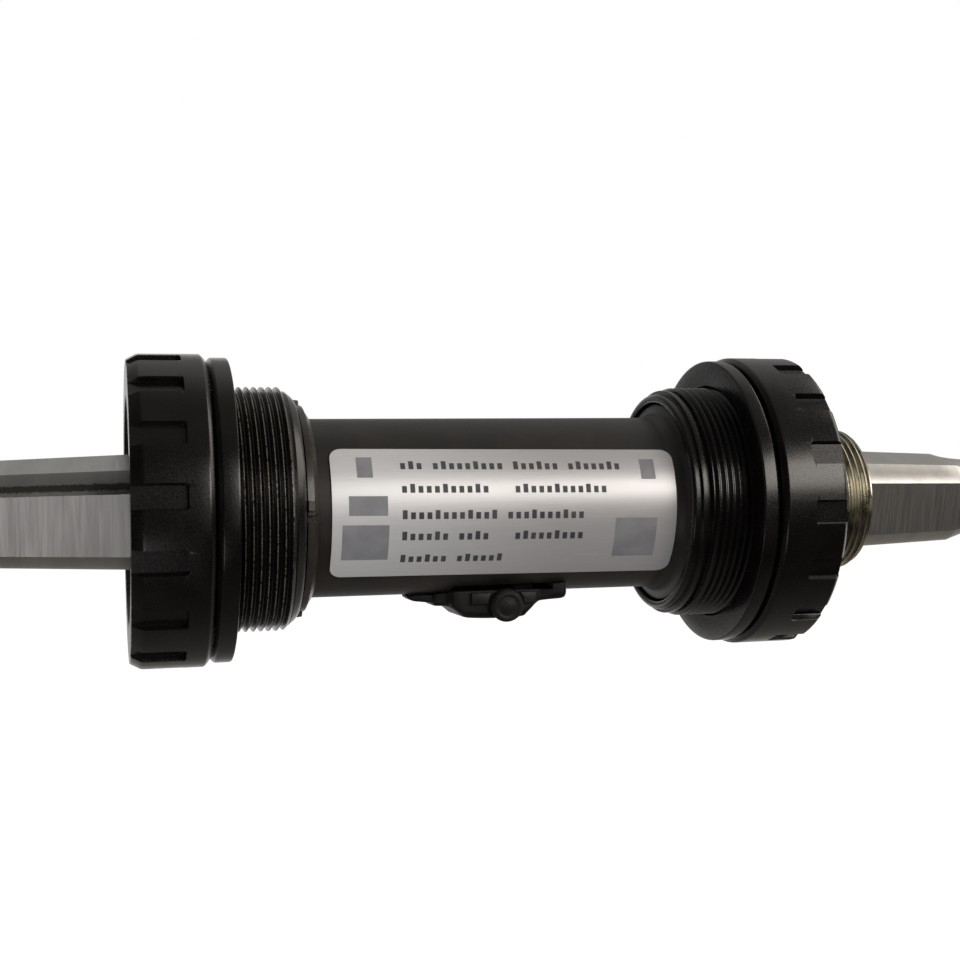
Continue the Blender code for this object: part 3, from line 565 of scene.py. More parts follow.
@dataclass(frozen=True)
class BlackAnodising:
    """Turned aluminium, bead blasted and anodised black.

    The dye is warm near-black under a clear oxide, which is denser than most coatings and gives a
    strong satin highlight; blasting breaks it into a fine speckle. A thread's crests are rubbed
    down to bright metal.
    """

    name: str = "black_anodised_aluminium"
    colour: str = "#0a0807"
    worn: str = "#110e0d"
    bare: str = "#a29c90"
    roughness: float = 0.24
    specular: float = 0.55
    grain: float = 0.2
    marks: float = 0.35
    crest: float = 0.0

    def crest_mask(self, tree: Tree, place: Coordinates) -> Node:
        """Add the mask of the rubbed crests: a thin band of radius, broken into specks."""
        above = ramp(tree, place.radius, "Value", self.crest - 0.03, self.crest - 0.003)
        below = ramp(tree, place.radius, "Value", self.crest + 0.12, self.crest + 0.05)
        patch = ramp(tree, place.grain(0.9, 4.0, 0.65), "Fac", 0.36, 0.62)
        thread = calc(tree, "MULTIPLY", (above, "Result"), (below, "Result"))
        return calc(tree, "MULTIPLY", (thread, "Value"), (patch, "Result"))

    def build(self) -> Material:
        """Make the material."""
        material, tree, shader, place = new_material(self.name)
        speck = place.grain(self.grain, 5.0, 0.7)
        cloud = place.grain(4.0, 4.0)
        lines = place.lathe_marks(self.marks)
        tone = blend(tree, ramp(tree, cloud, "Fac", 0.35, 0.7), self.colour, self.worn)
        gloss = spread(tree, speck, self.roughness - 0.05, self.roughness + 0.07)
        if self.crest:
            mask = self.crest_mask(tree, place)
            tone = cover(tree, mask, tone, self.bare)
            tree.links.new(mask.outputs["Value"], shader.inputs["Metallic"])
        paint(tree, shader, tone, gloss, Specular_IOR_Level=self.specular)
        fine = bump(tree, shader, speck, "Fac", 0.35, 0.02)
        bump(tree, shader, lines, "Fac", 0.2, 0.012, fine)
        return material


@dataclass(frozen=True)
class GroundSteel:
    """Forged steel with milled flats.

    Fine cutter lines run across the flats, and a ragged dark strip is drawn where the
    front flat of the left square meets its corner.
    """

    name: str = "milled_spindle_steel"
    colour: str = "#bab9b7"
    light: str = "#c5c4c1"
    # colour of the dark strip drawn along one corner of the left square
    scale: str = "#6b6762"
    roughness: float = 0.4
    dark_strip_middle: float = 25.0
    dark_strip_half: float = 4.5
    dark_strip_ragged: float = 7.0
    dark_strip_end: Pair = (-45.0, -47.0)

    def dark_strip_mask(self, tree: Tree, place: Coordinates, noise: Node) -> Node:
        """Add the mask of the dark strip: a ragged band at one angle about the axis, left end only."""
        front = calc(tree, "MULTIPLY", (place.parts, "Y"), -1.0)
        turn = calc(tree, "ARCTAN2", (place.parts, "Z"), (front, "Value"))
        ragged = calc(tree, "MULTIPLY_ADD", (noise, "Fac"), math.radians(self.dark_strip_ragged), (turn, "Value"))
        middle = math.radians(self.dark_strip_middle + self.dark_strip_ragged / 2)
        off = calc(tree, "SUBTRACT", (ragged, "Value"), middle)
        away = calc(tree, "ABSOLUTE", (off, "Value"))
        half = math.radians(self.dark_strip_half)
        strip = ramp(tree, away, "Value", half, half * 0.6)
        left = ramp(tree, place.parts, "X", *self.dark_strip_end)
        return calc(tree, "MULTIPLY", (strip, "Result"), (left, "Result"))

    def build(self) -> Material:
        """Make the material."""
        material, tree, shader, place = new_material(self.name)
        lines = place.stretched((0.22, 9.0, 9.0))
        broad = place.stretched((3.0, 14.0, 14.0), 2.0)
        tone = blend(tree, spread(tree, broad), self.colour, self.light)
        noise = place.grain(0.45, 4.0, 0.7)
        mask = self.dark_strip_mask(tree, place, noise)
        gloss = spread(tree, lines, self.roughness - 0.03, self.roughness + 0.04)
        paint(tree, shader, cover(tree, mask, tone, self.scale), gloss, Metallic=1.0)
        cutter = bump(tree, shader, lines, "Fac", 0.18, 0.012)
        bump(tree, shader, noise, "Fac", 0.08, 0.02, cutter)
        return material


@dataclass(frozen=True)
class TurnedSteel:
    """Turned or ground steel that shows the circular marks of its tool.

    Plating clouds it: the patches are cloud millimetres across, or none where it is 0.
    """

    name: str
    colour: str
    light: str
    roughness: float
    smoother: float
    rougher: float
    marks: float
    strength: float
    depth: float
    cloud: float = 0.0

    def build(self) -> Material:
        """Make the material."""
        material, tree, shader, place = new_material(self.name)
        lines = place.lathe_marks(self.marks)
        pattern = place.grain(self.cloud, 4.0) if self.cloud else lines
        tone = blend(tree, spread(tree, pattern), self.colour, self.light)
        gloss = spread(tree, pattern, self.roughness - self.smoother, self.roughness + self.rougher)
        paint(tree, shader, tone, gloss, Metallic=1.0)
        bump(tree, shader, lines, "Fac", self.strength, self.depth)
        return material


@dataclass(frozen=True)
class MouldedPolymer:
    """A moulded or pressed non-metal, with the fine grain of its mould.

    The grain is about a tenth of a millimetre on the real piece and is drawn a little coarser so
    that it shows.
    """

    name: str
    colour: str
    light: str
    roughness: float = 0.5
    grain: float = 0.2
    height: float = 0.015
    specular: float = 0.4

    def build(self) -> Material:
        """Make the material."""
        material, tree, shader, place = new_material(self.name)
        cloud = place.grain(2.5, 4.0)
        tone = blend(tree, spread(tree, cloud), self.colour, self.light)
        grain = place.grain(self.grain)
        gloss = spread(tree, grain, self.roughness - 0.07, self.roughness + 0.07)
        paint(tree, shader, tone, gloss, Specular_IOR_Level=self.specular)
        bump(tree, shader, grain, "Fac", 0.4, self.height)
        return material


@dataclass(frozen=True)
class SilverFilm:
    """Metallised polyester label film, matt coated for print.

    The coat hides a good half of the metal's mirror, so the silver shows as a soft sheen over pale
    grey with a fine drawn grain along the label; its colour is painted paler toward the left end, a painted light
    for that end being lit more.
    """

    name: str = "metallised_label_film"
    colour: str = "#bdbcbc"
    light: str = "#e4e4e5"
    roughness: float = 0.36
    metal: float = 0.45
    # the X range over which the film's colour is painted paler toward its left end: painted light
    drift: Pair = (14.0, -22.0)
    fine: float = 0.16

    def build(self) -> Material:
        """Make the material."""
        material, tree, shader, place = new_material(self.name)
        drawn = place.stretched((6.0, 0.12, 0.12))
        fine = spread(tree, drawn, 0.0, self.fine)
        # painted light: the film's colour grows paler toward its left end, as if that end were lit more
        along = ramp(tree, place.parts, "X", *self.drift, 0.0, 1.0 - self.fine)
        mask = calc(tree, "ADD", (fine, "Result"), (along, "Result"))
        tone = blend(tree, mask, self.colour, self.light, "Value")
        gloss = spread(tree, drawn, self.roughness - 0.03, self.roughness + 0.04)
        paint(tree, shader, tone, gloss, Metallic=self.metal)
        bump(tree, shader, drawn, "Fac", 0.1, 0.005)
        return material


@dataclass(frozen=True)
class CopperWinding:
    """Enamelled copper wire wound in close turns: brown-orange gloss with a rib for each turn, its colour painted
    lighter on each rib and darker between turns as painted highlight and shade.
    """

    name: str = "enamelled_copper_winding"
    colour: str = "#9c4f22"
    # the painted highlight colour on the top of each rib
    light: str = "#c27a3d"
    wire: float = 0.28

    def build(self) -> Material:
        """Make the material."""
        material, tree, shader, place = new_material(self.name)
        wave = add(tree, "ShaderNodeTexWave",
                   {"bands_direction": "X", "Scale": math.pi / 10 / self.wire, "Distortion": 0.4},
                   {"Vector": (place.point, "Vector")})
        # painted highlight and shade: the wave that raises each rib also makes its top lighter and the gap between
        # turns darker
        tone = blend(tree, wave, self.colour, self.light, "Fac")
        paint(tree, shader, tone, spread(tree, place.grain(0.8), 0.2, 0.34), Metallic=0.9)
        bump(tree, shader, wave, "Fac", 0.6, 0.08)
        return material


class Finish(Enum):
    """The finishes that pieces share."""

    ANODISED = "anodised"
    THREADED = "threaded"
    TUBE = "tube"
    SLEEVE = "sleeve"
    SPINDLE = "spindle"
    BEARING = "bearing"
    MOULDING = "moulding"
    NOSE = "nose"
    RUBBER = "rubber"
    FILM = "film"
    INK = "ink"
    TINT = "tint"
    COPPER = "copper"
    NYLON = "nylon"
    BUSH = "bush"
    FERRITE = "ferrite"
    RESIST = "resist"
    EPOXY = "epoxy"


@dataclass
class Paintbox:
    """The materials, each made once."""

    made: dict[Finish, Material] = field(default_factory=dict)

    def recipe(self, finish: Finish) -> object:
        """Give a finish's recipe.

        Args:
            finish: which finish.

        Returns:
            The dataclass that builds it.
        """
        return {
            Finish.ANODISED: BlackAnodising(),
            Finish.THREADED: BlackAnodising(name="black_anodised_thread", crest=17.4, marks=0.5),
            # the tube is blasted coarser and dyed thinner, so it is a softer charcoal
            Finish.TUBE: BlackAnodising(name="charcoal_anodised_tube", colour="#1b1815", worn="#221e1a",
                                        roughness=0.46, specular=0.7),
            # zinc-nickel plating: a dull olive silver with cloudy patches
            Finish.SLEEVE: TurnedSteel("zinc_nickel_plated_steel", "#a9a491", "#c9c4b2", 0.27, 0.07, 0.1,
                                       0.25, 0.3, 0.015, 2.2),
            Finish.SPINDLE: GroundSteel(),
            # hardened, ground and polished: a clear mirror with faint rings
            Finish.BEARING: TurnedSteel("polished_bearing_steel", "#b6b7b8", "#c6c7c9", 0.16, 0.04, 0.08,
                                        0.3, 0.15, 0.005),
            # glass-filled nylon: matt charcoal with a pale bloom on its edges
            Finish.MOULDING: MouldedPolymer("glass_filled_nylon", "#0f0f0e", "#191817", 0.46, specular=0.35),
            # hard nylon, smooth from the mould: a brighter edge light than the moulding's
            Finish.NOSE: MouldedPolymer("hard_nylon", "#25221f", "#322e29", 0.34, 0.3, 0.006, 0.6),
            # nitrile rubber: the dullest black on the part
            Finish.RUBBER: MouldedPolymer("nitrile_rubber", "#131312", "#1d1d1b", 0.6, 0.3),
            Finish.FILM: SilverFilm(),
            # screen ink: flat black that hides the film's sheen
            Finish.INK: MouldedPolymer("screen_ink", "#3a3a3d", "#48484a", 0.5, 0.15, 0.004),
            # the same ink in a half tone: the silver shows through as a middle grey
            Finish.TINT: MouldedPolymer("half_tone_ink", "#77777a", "#838386", 0.45, 0.15, 0.004),
            Finish.COPPER: CopperWinding(),
            # natural nylon: milky cream
            Finish.NYLON: MouldedPolymer("natural_nylon", "#c9c2ad", "#d8d2c0", 0.42),
            # filled acetal: tan, waxy
            Finish.BUSH: MouldedPolymer("filled_acetal", "#8d8262", "#a09474", 0.4),
            # pressed ferrite: grey-black with a sintered pitting
            Finish.FERRITE: MouldedPolymer("sintered_ferrite", "#2f2f33", "#3c3c40", 0.55, 0.15, 0.03),
            # solder resist: deep green gloss
            Finish.RESIST: MouldedPolymer("solder_resist", "#12502c", "#186238", 0.25, 0.6, 0.006),
            # moulded epoxy: matt black
            Finish.EPOXY: MouldedPolymer("moulded_epoxy", "#1b1b1d", "#242426", 0.5, 0.12),
        }[finish]

    def get(self, finish: Finish) -> Material:
        """Give a finish's material, made on first use."""
        if finish not in self.made:
            self.made[finish] = self.recipe(finish).build()
        return self.made[finish]

    def coat(self, obj: Object, finish: Finish) -> Object:
        """Give an object one material all over."""
        obj.data.materials.clear()
        obj.data.materials.append(self.get(finish))
        return obj


PAINT = Paintbox()


def fit(obj: Object, body: str, slot: str, finish: Finish, *nodes: str) -> Object:
    """Coat a finished piece and tie it to the frame.

    Args:
        obj: the piece.
        body: the body it rides on.
        slot: the record's material slot; not used.
        finish: its finish.
        *nodes: the solids it stands for.

    Returns:
        The piece.
    """
    PAINT.coat(obj, finish)
    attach(obj, body)
    if nodes:
        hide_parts(*nodes)
    LOG.info("%s: %d faces on %s", obj.name, len(obj.data.polygons), body)
    return obj


# ---------------------------------------------------------------- pieces


@dataclass
class CupRim:
    """The notched rim of a cup, made as one sixteenth and repeated round the axis."""

    side: Side
    rim_in: float
    rim_out: float
    notch_length: float
    phase: float
    inner: float
    seat: float
    bevel_length: float = 0.7
    bevel_drop: float = 0.7
    radius: float = 21.9995
    notches: int = 16
    notch_width: float = 3.3
    notch_depth: float = 1.0
    notch_corner: float = 0.4
    notch_edge: float = 0.14
    back_bevel: float = 0.6
    seat_out: float = 48.2

    def depth_at(self, u: float, x: float) -> float:
        """Give how far a notch cuts in at one place.

        Args:
            u: distance round the rim from the notch's middle line.
            x: distance out.

        Returns:
            Depth below the rim, in millimetres.
        """
        end = self.rim_out - self.notch_length
        c = self.notch_corner
        dx, du = end + c - x, abs(u) - (self.notch_width / 2 - c)
        away = math.hypot(max(dx, 0.0), max(du, 0.0)) - c + min(max(dx, du), 0.0)
        t = min(max(0.5 - away / self.notch_edge, 0.0), 1.0)
        return self.notch_depth * t * t * (3 - 2 * t)

    def columns(self) -> list[float]:
        """Give the sector's angles in degrees, closest where the notch's walls are."""
        half = 180.0 / self.notches
        wall = self.notch_width / 2
        near = [wall + self.notch_edge * k for k in (-3.4, -2.0, -1.1, -0.5, -0.3, -0.1, 0.1, 0.3, 0.5)]
        right = [0.0, wall * 0.45, *near]
        degrees = [math.degrees(u / self.radius) for u in right]
        degrees += [degrees[-1] + (half - degrees[-1]) * f for f in (0.33, 0.66, 1.0)]
        return [-d for d in degrees[:0:-1]] + degrees

    def rows(self) -> list[tuple[float, float, bool]]:
        """Give the profile from the thread's root round the rim: out, radius and whether notched."""
        end, full = self.rim_out - self.notch_length, self.radius
        back = fillets([(self.rim_in, self.inner, 0), (self.rim_in, full - self.back_bevel, 0.15),
                        (self.rim_in + self.back_bevel, full, 0.2), (end - 1.0, full, 0)], False, 3)
        points = [(x, r, False) for x, r in back]
        steps = (-0.5, -0.3, -0.1, 0.1, 0.3, 0.5, 1.1, 2.0, 3.2)
        points += [(end + self.notch_edge * k, full, True) for k in steps]
        front = fillets([(end + 1.2, full, 0), (self.rim_out - self.bevel_length, full, 0.3),
                         (self.rim_out, full - self.bevel_drop, 0.15), (self.rim_out, self.seat + 0.3, 0)],
                        False, 3)
        points += [(x, r, True) for x, r in front]
        rest = fillets([(self.rim_out, self.seat + 0.2, 0), (self.rim_out, self.seat, 0.1),
                        (self.seat_out, self.seat, 0.0), (self.seat_out, self.inner, 0)], False, 3)
        return points + [(x, r, False) for x, r in rest]

    def build(self, name: str) -> Object:
        """Make the whole rim.

        Args:
            name: the object's name.

        Returns:
            A closed ring from the inner radius to the notched outside.
        """
        shell = Shell()
        rows = []
        for x, r, notched in self.rows():
            row = []
            for deg in self.columns():
                flat = self.radius / math.cos(math.radians(deg))
                deep = self.depth_at(math.radians(deg) * self.radius, x) if notched else 0.0
                low = flat - deep if deep > 0.98 * self.notch_depth else self.radius - deep
                row.append(around(self.side.value * x, min(r, low) if deep else r, deg))
            rows.append(row)
        shell.add_rows(rows, closed=True, loop=False)
        sector = shell.to_object(name)
        return ring_of(sector, self.notches, -self.phase)


@dataclass
class Cup:
    """What both cups have: the frame shell's thread and the bearing's pocket."""

    thread: float = 17.4
    depth: float = 0.62
    pitch: float = 25.4 / 24
    pocket: float = 40.9
    pocket_end: float = 48.2
    overlap: float = 0.6
    skin: float = 0.05


@dataclass
class LeftCup(Cup):
    """The cup with the slotted nose ring, its spacer and seal; its O-ring and outer bearing ring stay as imported
    solids.
    """

    rim_in: float = 39.7
    face: float = 50.3
    bore: float = 13.15
    cone_in: float = 27.3
    cone_out: float = 29.2
    cone_drop: float = 1.7
    spigot: float = 14.2
    spigot_end: float = 28.5
    groove: Pair = (29.2, 31.0)
    groove_r: float = 14.4
    pocket_r: float = 15.3
    seal_seat: float = 16.21

    def build(self) -> None:
        """Make the cup's body, thread and rim as one piece, then what it carries."""
        root = self.thread - self.depth
        slope = self.cone_drop / (self.cone_out - self.cone_in)
        start = self.cone_out - self.depth / slope
        hidden = root - self.skin
        shell = Shell()
        body = [(self.rim_in + self.overlap, hidden, 0), (start, hidden, 0), (start, root, 0),
                (self.cone_in + 0.35, self.thread - self.cone_drop + 0.42, 0.3),
                (self.cone_in, self.thread - self.cone_drop, 0.12),
                (self.cone_in, self.spigot, 0.08), (self.spigot_end, self.spigot, 0),
                (self.spigot_end, self.bore, 0), (self.groove[0], self.bore, 0),
                (self.groove[0], self.groove_r, 0), (self.groove[1], self.groove_r, 0),
                (self.groove[1], self.bore, 0), (self.pocket, self.bore, 0),
                (self.pocket, self.pocket_r, 0), (self.pocket_end, self.pocket_r, 0),
                (self.pocket_end, hidden, 0)]
        turned(shell, fillets(body, True), Side.LEFT)
        ScrewThread(start, self.rim_in - 0.3, self.thread, self.depth, self.pitch, Hand.RIGHT, lead=0.12,
                    rise_in=self.depth / slope, slope=slope).add_to(shell, Side.LEFT)
        core = shell.to_object("left_cup_core", 24.0)
        rim = CupRim(Side.LEFT, self.rim_in, self.face, 7.2, 5.7, 16.2, self.seal_seat,
                     bevel_length=1.5, bevel_drop=0.8).build("left_cup_rim")
        cup = joined("left_threaded_cup", [core, rim], 28.0)
        fit(cup, "left_cup_set", "black_anodised", Finish.THREADED, "left_cup")
        Spacer(Side.LEFT, 2.9).build()
        NoseRing().build()
        Seal(Side.LEFT, 15.9, 8.9).build()


@dataclass
class RightCup(Cup):
    """The drive side cup: lip, collar, thread and notched rim, with its spacer and seal."""

    rim_in: float = 39.4
    face: float = 49.5
    mouth: float = 27.9
    bore: float = 15.2
    lip: float = 16.4
    lip_width: float = 1.2
    collar: float = 17.0
    collar_out: float = 29.9
    relief: float = 16.4
    thread_in: float = 30.5
    pocket_r: float = 18.8
    wall: float = 0.5

    def build(self) -> None:
        """Make the cup's body, thread and rim as one piece, then what it carries."""
        hidden = self.thread - self.depth - self.skin
        step = self.mouth + self.lip_width
        shell = Shell()
        back = self.rim_in + self.overlap
        body = [(back, hidden, 0), (self.thread_in, hidden, 0),
                (self.thread_in - self.skin, self.relief, 0.12), (self.collar_out, self.relief, 0.12),
                (self.collar_out, self.collar, 0.16), (step, self.collar, 0.16), (step, self.lip, 0.12),
                (self.mouth, self.lip, 0.75), (self.mouth, self.bore, 0.3), (back, self.bore, 0)]
        turned(shell, fillets(body, True, 6), Side.RIGHT)
        ScrewThread(self.thread_in, self.rim_in - 0.3, self.thread, self.depth, self.pitch, Hand.LEFT,
                    lead=0.36, rise_in=0.3).add_to(shell, Side.RIGHT)
        outside = self.pocket_r + self.wall
        wall = [(self.rim_in + 0.1, self.bore), (self.pocket, self.bore), (self.pocket, self.pocket_r),
                (self.pocket_end, self.pocket_r), (self.pocket_end, outside), (self.rim_in + 0.1, outside)]
        turned(shell, wall, Side.RIGHT)
        core = shell.to_object("right_cup_core", 24.0)
        rim = CupRim(Side.RIGHT, self.rim_in, self.face, 5.2, -4.0, 19.2, 19.71).build("right_cup_rim")
        cup = joined("right_threaded_cup", [core, rim], 28.0)
        fit(cup, "right_cup_set", "black_anodised", Finish.ANODISED, "right_cup")
        Spacer(Side.RIGHT, 2.6).build()
        Seal(Side.RIGHT, 19.4, 11.3).build()


@dataclass
class Spacer:
    """The thin ring between a cup's rim and the shell: turned, with a bevel and a broken edge."""

    side: Side
    width: float
    inner_face: float = 36.5
    bore: float = 17.7
    radius: float = 21.5
    bevel: float = 0.6

    def build(self) -> None:
        """Make the ring."""
        out = self.inner_face + self.width
        shell = Shell()
        corners = [(self.inner_face, self.bore, 0.15), (out, self.bore, 0.15),
                   (out, self.radius - self.bevel, 0.12), (out - self.bevel, self.radius, 0.2),
                   (self.inner_face, self.radius, 0.28)]
        turned(shell, fillets(corners, True), self.side)
        fit(shell.to_object(self.side.named("spacer_ring"), 24.0), self.side.named("cup_set"),
            "black_anodised", Finish.ANODISED, self.side.named("spacer"))


@dataclass
class NoseRing:
    """The slotted ring whose spigot sits in the left cup's nose."""

    back: float = 27.0
    front: float = 25.3
    bore: float = 13.15
    radius: float = 14.9
    tip: float = 13.4
    spigot: float = 13.9
    spigot_length: float = 0.9
    slots: int = 4
    slot_width: float = 1.0
    slot_depth: float = 0.9
    phase: float = -5.0
    lug_rise: float = 0.7

    def build(self) -> None:
        """Make one quarter and repeat it."""
        half = math.degrees(self.slot_width / 2 / self.radius)
        step = 360.0 / self.slots
        table = [(-half - 1.0, 0.0), (-half - 0.25, 0.0), (-half, -0.12), (-half + 0.15, -1.0), (0.0, -1.0),
                 (half - 0.15, -1.0), (half, -0.12), (half + 0.25, 0.0), (half + 2.3, 0.0), (half + 2.5, 0.85),
                 (half + 2.8, 1.0), (half + 7.2, 1.0), (half + 7.5, 0.85), (half + 7.7, 0.0)]
        table += [(half + 7.7 + (step - 2 * half - 8.7) * k / 14, 0.0) for k in range(1, 14)]
        table.append((step - half - 1.0, 0.0))
        profile = [(self.back, self.radius, 1.0, 1.0), (self.back - 0.75, self.radius - 0.08, 1.0, 1.0),
                   (self.back - 0.82, self.radius - 0.1, 1.0, 0.85), (self.back - 0.9, self.radius - 0.12, 1.0, 0.0),
                   (self.front + 0.62, self.tip + 0.95, 0.8, 0.0), (self.front + 0.36, self.tip + 0.55, 0.55, 0.0),
                   (self.front + 0.08, self.tip + 0.12, 0.0, 0.0), (self.front, self.tip, 0.0, 0.0),
                   (self.front, self.bore, 0.0, 0.0), (self.back + self.spigot_length, self.bore, 0.0, 0.0),
                   (self.back + self.spigot_length, self.spigot, 0.0, 0.0), (self.back, self.spigot, 0.0, 0.0)]
        rows = []
        for x, r, sink, rise in profile:
            rows.append([around(-x, r + (self.slot_depth * sink * k if k < 0 else self.lug_rise * rise * k), a)
                         for a, k in table])
        shell = Shell()
        shell.add_rows(rows, closed=True, loop=False)
        ring = ring_of(shell.to_object("slotted_nose_ring"), self.slots, -self.phase)
        fit(ring, "left_cup_set", "moulded_black", Finish.NOSE, "left_nose_ring")


@dataclass
class Seal:
    """The rubber seal in a cup's face, with its two lips."""

    side: Side
    radius: float
    lip: float
    out: float = 49.4
    width: float = 0.9

    def build(self) -> None:
        """Make the ring."""
        inner, back = self.lip, self.out - self.width
        mid = (self.radius + inner) / 2
        corners = [(back, inner + 0.5, 0.1), (back + 0.3, inner, 0.08), (self.out - 0.25, inner, 0.08),
                   (self.out - 0.1, inner + 0.6, 0.1), (self.out - 0.3, inner + 0.9, 0.1),
                   (self.out - 0.3, mid, 0.1), (self.out, mid + 0.6, 0.15), (self.out, self.radius, 0.2),
                   (back, self.radius, 0.1)]
        shell = Shell()
        turned(shell, fillets(corners, True, 3), self.side, 120)
        fit(shell.to_object(self.side.named("lip_seal"), 30.0), self.side.named("cup_set"), "rubber",
            Finish.RUBBER, self.side.named("seal"))


@dataclass
class Spindle:
    """The steel spindle: square tapers with round corners, end cones and bolt holes."""

    half_length: float = 81.5
    square_end: float = 12.0
    taper: float = 2.0
    corner: float = 1.18
    lean: float = -15.0
    cone: float = 4.3
    end_r: float = 5.85
    journal: float = 8.5
    core: float = 8.2
    left_start: float = 49.2
    right_start: float = 58.5
    hole: float = 3.4
    hole_depth: float = 20.0
    hole_lead: float = 0.6
    hole_pitch: float = 1.0
    hole_sides: int = 48
    journal_in: float = 40.9
    groove: Point = (28.3, 26.5, 0.6)
    flat_columns: int = 22
    corner_columns: int = 14

    def half_across(self, out: float) -> float:
        """Give half the width across flats at a distance out."""
        return self.square_end / 2 + math.tan(math.radians(self.taper)) * (self.half_length - out)

    def angles(self) -> list[float]:
        """Give the columns' angles, with one on each edge between a flat and a corner."""
        edge = math.degrees(math.acos(1 / self.corner))
        n, m = self.flat_columns, self.corner_columns
        flat = [-edge + 2 * edge * k / n for k in range(n)]
        arc = [edge + (90 - 2 * edge) * k / m for k in range(m)]
        return [self.lean + 90.0 * q + a for q in range(4) for a in flat + arc]

    def square(self, side: Side, out: float) -> Row:
        """Give one section of the square."""
        half = self.half_across(out)
        row = []
        for a in self.angles():
            off = (a - self.lean + 45.0) % 90.0 - 45.0
            row.append(around(side.value * out, min(half * self.corner, half / math.cos(math.radians(off))), a))
        return row

    def circle(self, side: Side, out: float, r: float) -> Row:
        """Give one round section."""
        return [around(side.value * out, r, a) for a in self.angles()]

    def end(self, side: Side, start: float, shaft: float) -> list[Row]:
        """Give the rows from the shaft over the square, round the end and into the hole.

        Args:
            side: which end.
            start: where the square starts.
            shaft: radius of the round shaft there.

        Returns:
            The rows, outward.
        """
        cone = self.half_length - self.cone
        rows = [self.circle(side, start, shaft), self.square(side, start + 0.001)]
        rows += [self.square(side, start + (cone - start) * k / 6) for k in range(1, 7)]
        last = [Vector(p) for p in rows[-1]]
        tip = [Vector(p) for p in self.circle(side, self.half_length - 0.25, self.end_r + 0.12)]
        for k in (0.03, 0.5, 0.97):
            rows.append([tuple(a.lerp(b, k)) for a, b in zip(last, tip)])
        rows += [self.circle(side, self.half_length - 0.08, self.end_r - 0.02),
                 self.circle(side, self.half_length, self.end_r - 0.2),
                 self.circle(side, self.half_length, self.hole + self.hole_lead + 0.08),
                 self.circle(side, self.half_length - 0.05, self.hole + self.hole_lead),
                 self.circle(side, self.half_length - self.hole_lead - 0.4, self.hole + 0.25),
                 self.circle(side, self.half_length - self.hole_depth, self.hole + 0.25),
                 [(side.value * (self.half_length - self.hole_depth - self.hole * 0.5) * MM, 0.0, 0.0)]]
        return rows

    def hole_thread(self, shell: Shell, side: Side) -> None:
        """Add the bolt hole's thread, which winds inside the hole's wall."""
        ScrewThread(self.half_length - self.hole_depth + 1.0, self.half_length - self.hole_lead, self.hole, -0.3,
                    self.hole_pitch, Hand.RIGHT, wall=0.05, sides=self.hole_sides,
                    tooth=((0.0, 0.0), (0.12, 0.0), (0.5, 0.95), (0.62, 0.95), (1.0, 0.0))).add_to(shell, side)

    def build(self) -> None:
        """Make the spindle."""
        shell = Shell()
        left = self.end(Side.LEFT, self.left_start, self.journal)[::-1]
        g0, g1, floor = -self.groove[0], -self.groove[1], self.core - self.groove[2]
        middle = [self.circle(Side.RIGHT, x, r) for x, r in (
            (-self.journal_in, self.journal), (-self.journal_in, self.core), (g0, self.core), (g0, floor),
            (g1, floor), (g1, self.core))]
        shell.add_rows(left + middle + self.end(Side.RIGHT, self.right_start, self.core))
        self.hole_thread(shell, Side.LEFT)
        self.hole_thread(shell, Side.RIGHT)
        fit(shell.to_object("square_taper_spindle", 22.0), "spindle_set", "spindle_steel", Finish.SPINDLE,
            "spindle")


@dataclass
class TorqueSleeve:
    """The plated sleeve with its thin measuring wall, bearing seat and threaded nose."""

    left: float = -26.5
    bore: float = 8.5
    hub: float = 10.9
    hub_length: float = 3.4
    thin: float = 9.5
    tube_end: float = 35.1
    lead: float = 1.6
    seat: float = 12.5
    shoulder: float = 40.9
    shoulder_length: float = 2.0
    shoulder_rise: float = 0.9
    seat_end: float = 48.2
    nose: float = 10.9
    nose_end: float = 59.7
    nose_depth: float = 0.5
    nose_pitch: float = 1.0
    tooth: tuple[Pair, ...] = (
        (0.0, 0.2), (0.05, 0.05), (0.14, 0.0), (0.23, 0.05), (0.3, 0.2), (0.52, 0.9), (0.65, 1.0), (0.78, 0.9),
        (1.0, 0.2))

    def build(self) -> None:
        """Make the sleeve and its nose thread."""
        root = self.nose - self.nose_depth
        back = self.shoulder - self.shoulder_length
        rise = self.seat + self.shoulder_rise
        corners = [(self.left, self.bore, 0), (self.left, self.hub, 0.2),
                   (self.left + self.hub_length, self.hub, 0.3),
                   (self.left + self.hub_length + self.hub - self.thin, self.thin, 0.5),
                   (self.tube_end, self.thin, 0.5), (self.tube_end + self.lead, self.seat, 0.2),
                   (back, self.seat, 0), (back, rise, 0.15), (self.shoulder, rise, 0.15),
                   (self.shoulder, self.seat, 0), (self.seat_end, self.seat, 0.15), (self.seat_end, root - 0.04, 0),
                   (self.nose_end - 0.1, root - 0.04, 0), (self.nose_end, root - 0.15, 0.0),
                   (self.nose_end, self.bore + 0.3, 0.0), (self.nose_end - 0.3, self.bore, 0.0)]
        shell = Shell()
        turned(shell, fillets(corners, True, 3), Side.RIGHT, 144)
        ScrewThread(self.seat_end + 0.6, self.nose_end, self.nose, self.nose_depth, self.nose_pitch, Hand.RIGHT,
                    rise_out=0.8, sides=144, tooth=self.tooth).add_to(shell, Side.RIGHT)
        fit(shell.to_object("threaded_torque_sleeve", 24.0), "spindle_set", "plated_steel", Finish.SLEEVE,
            "torque_sleeve")


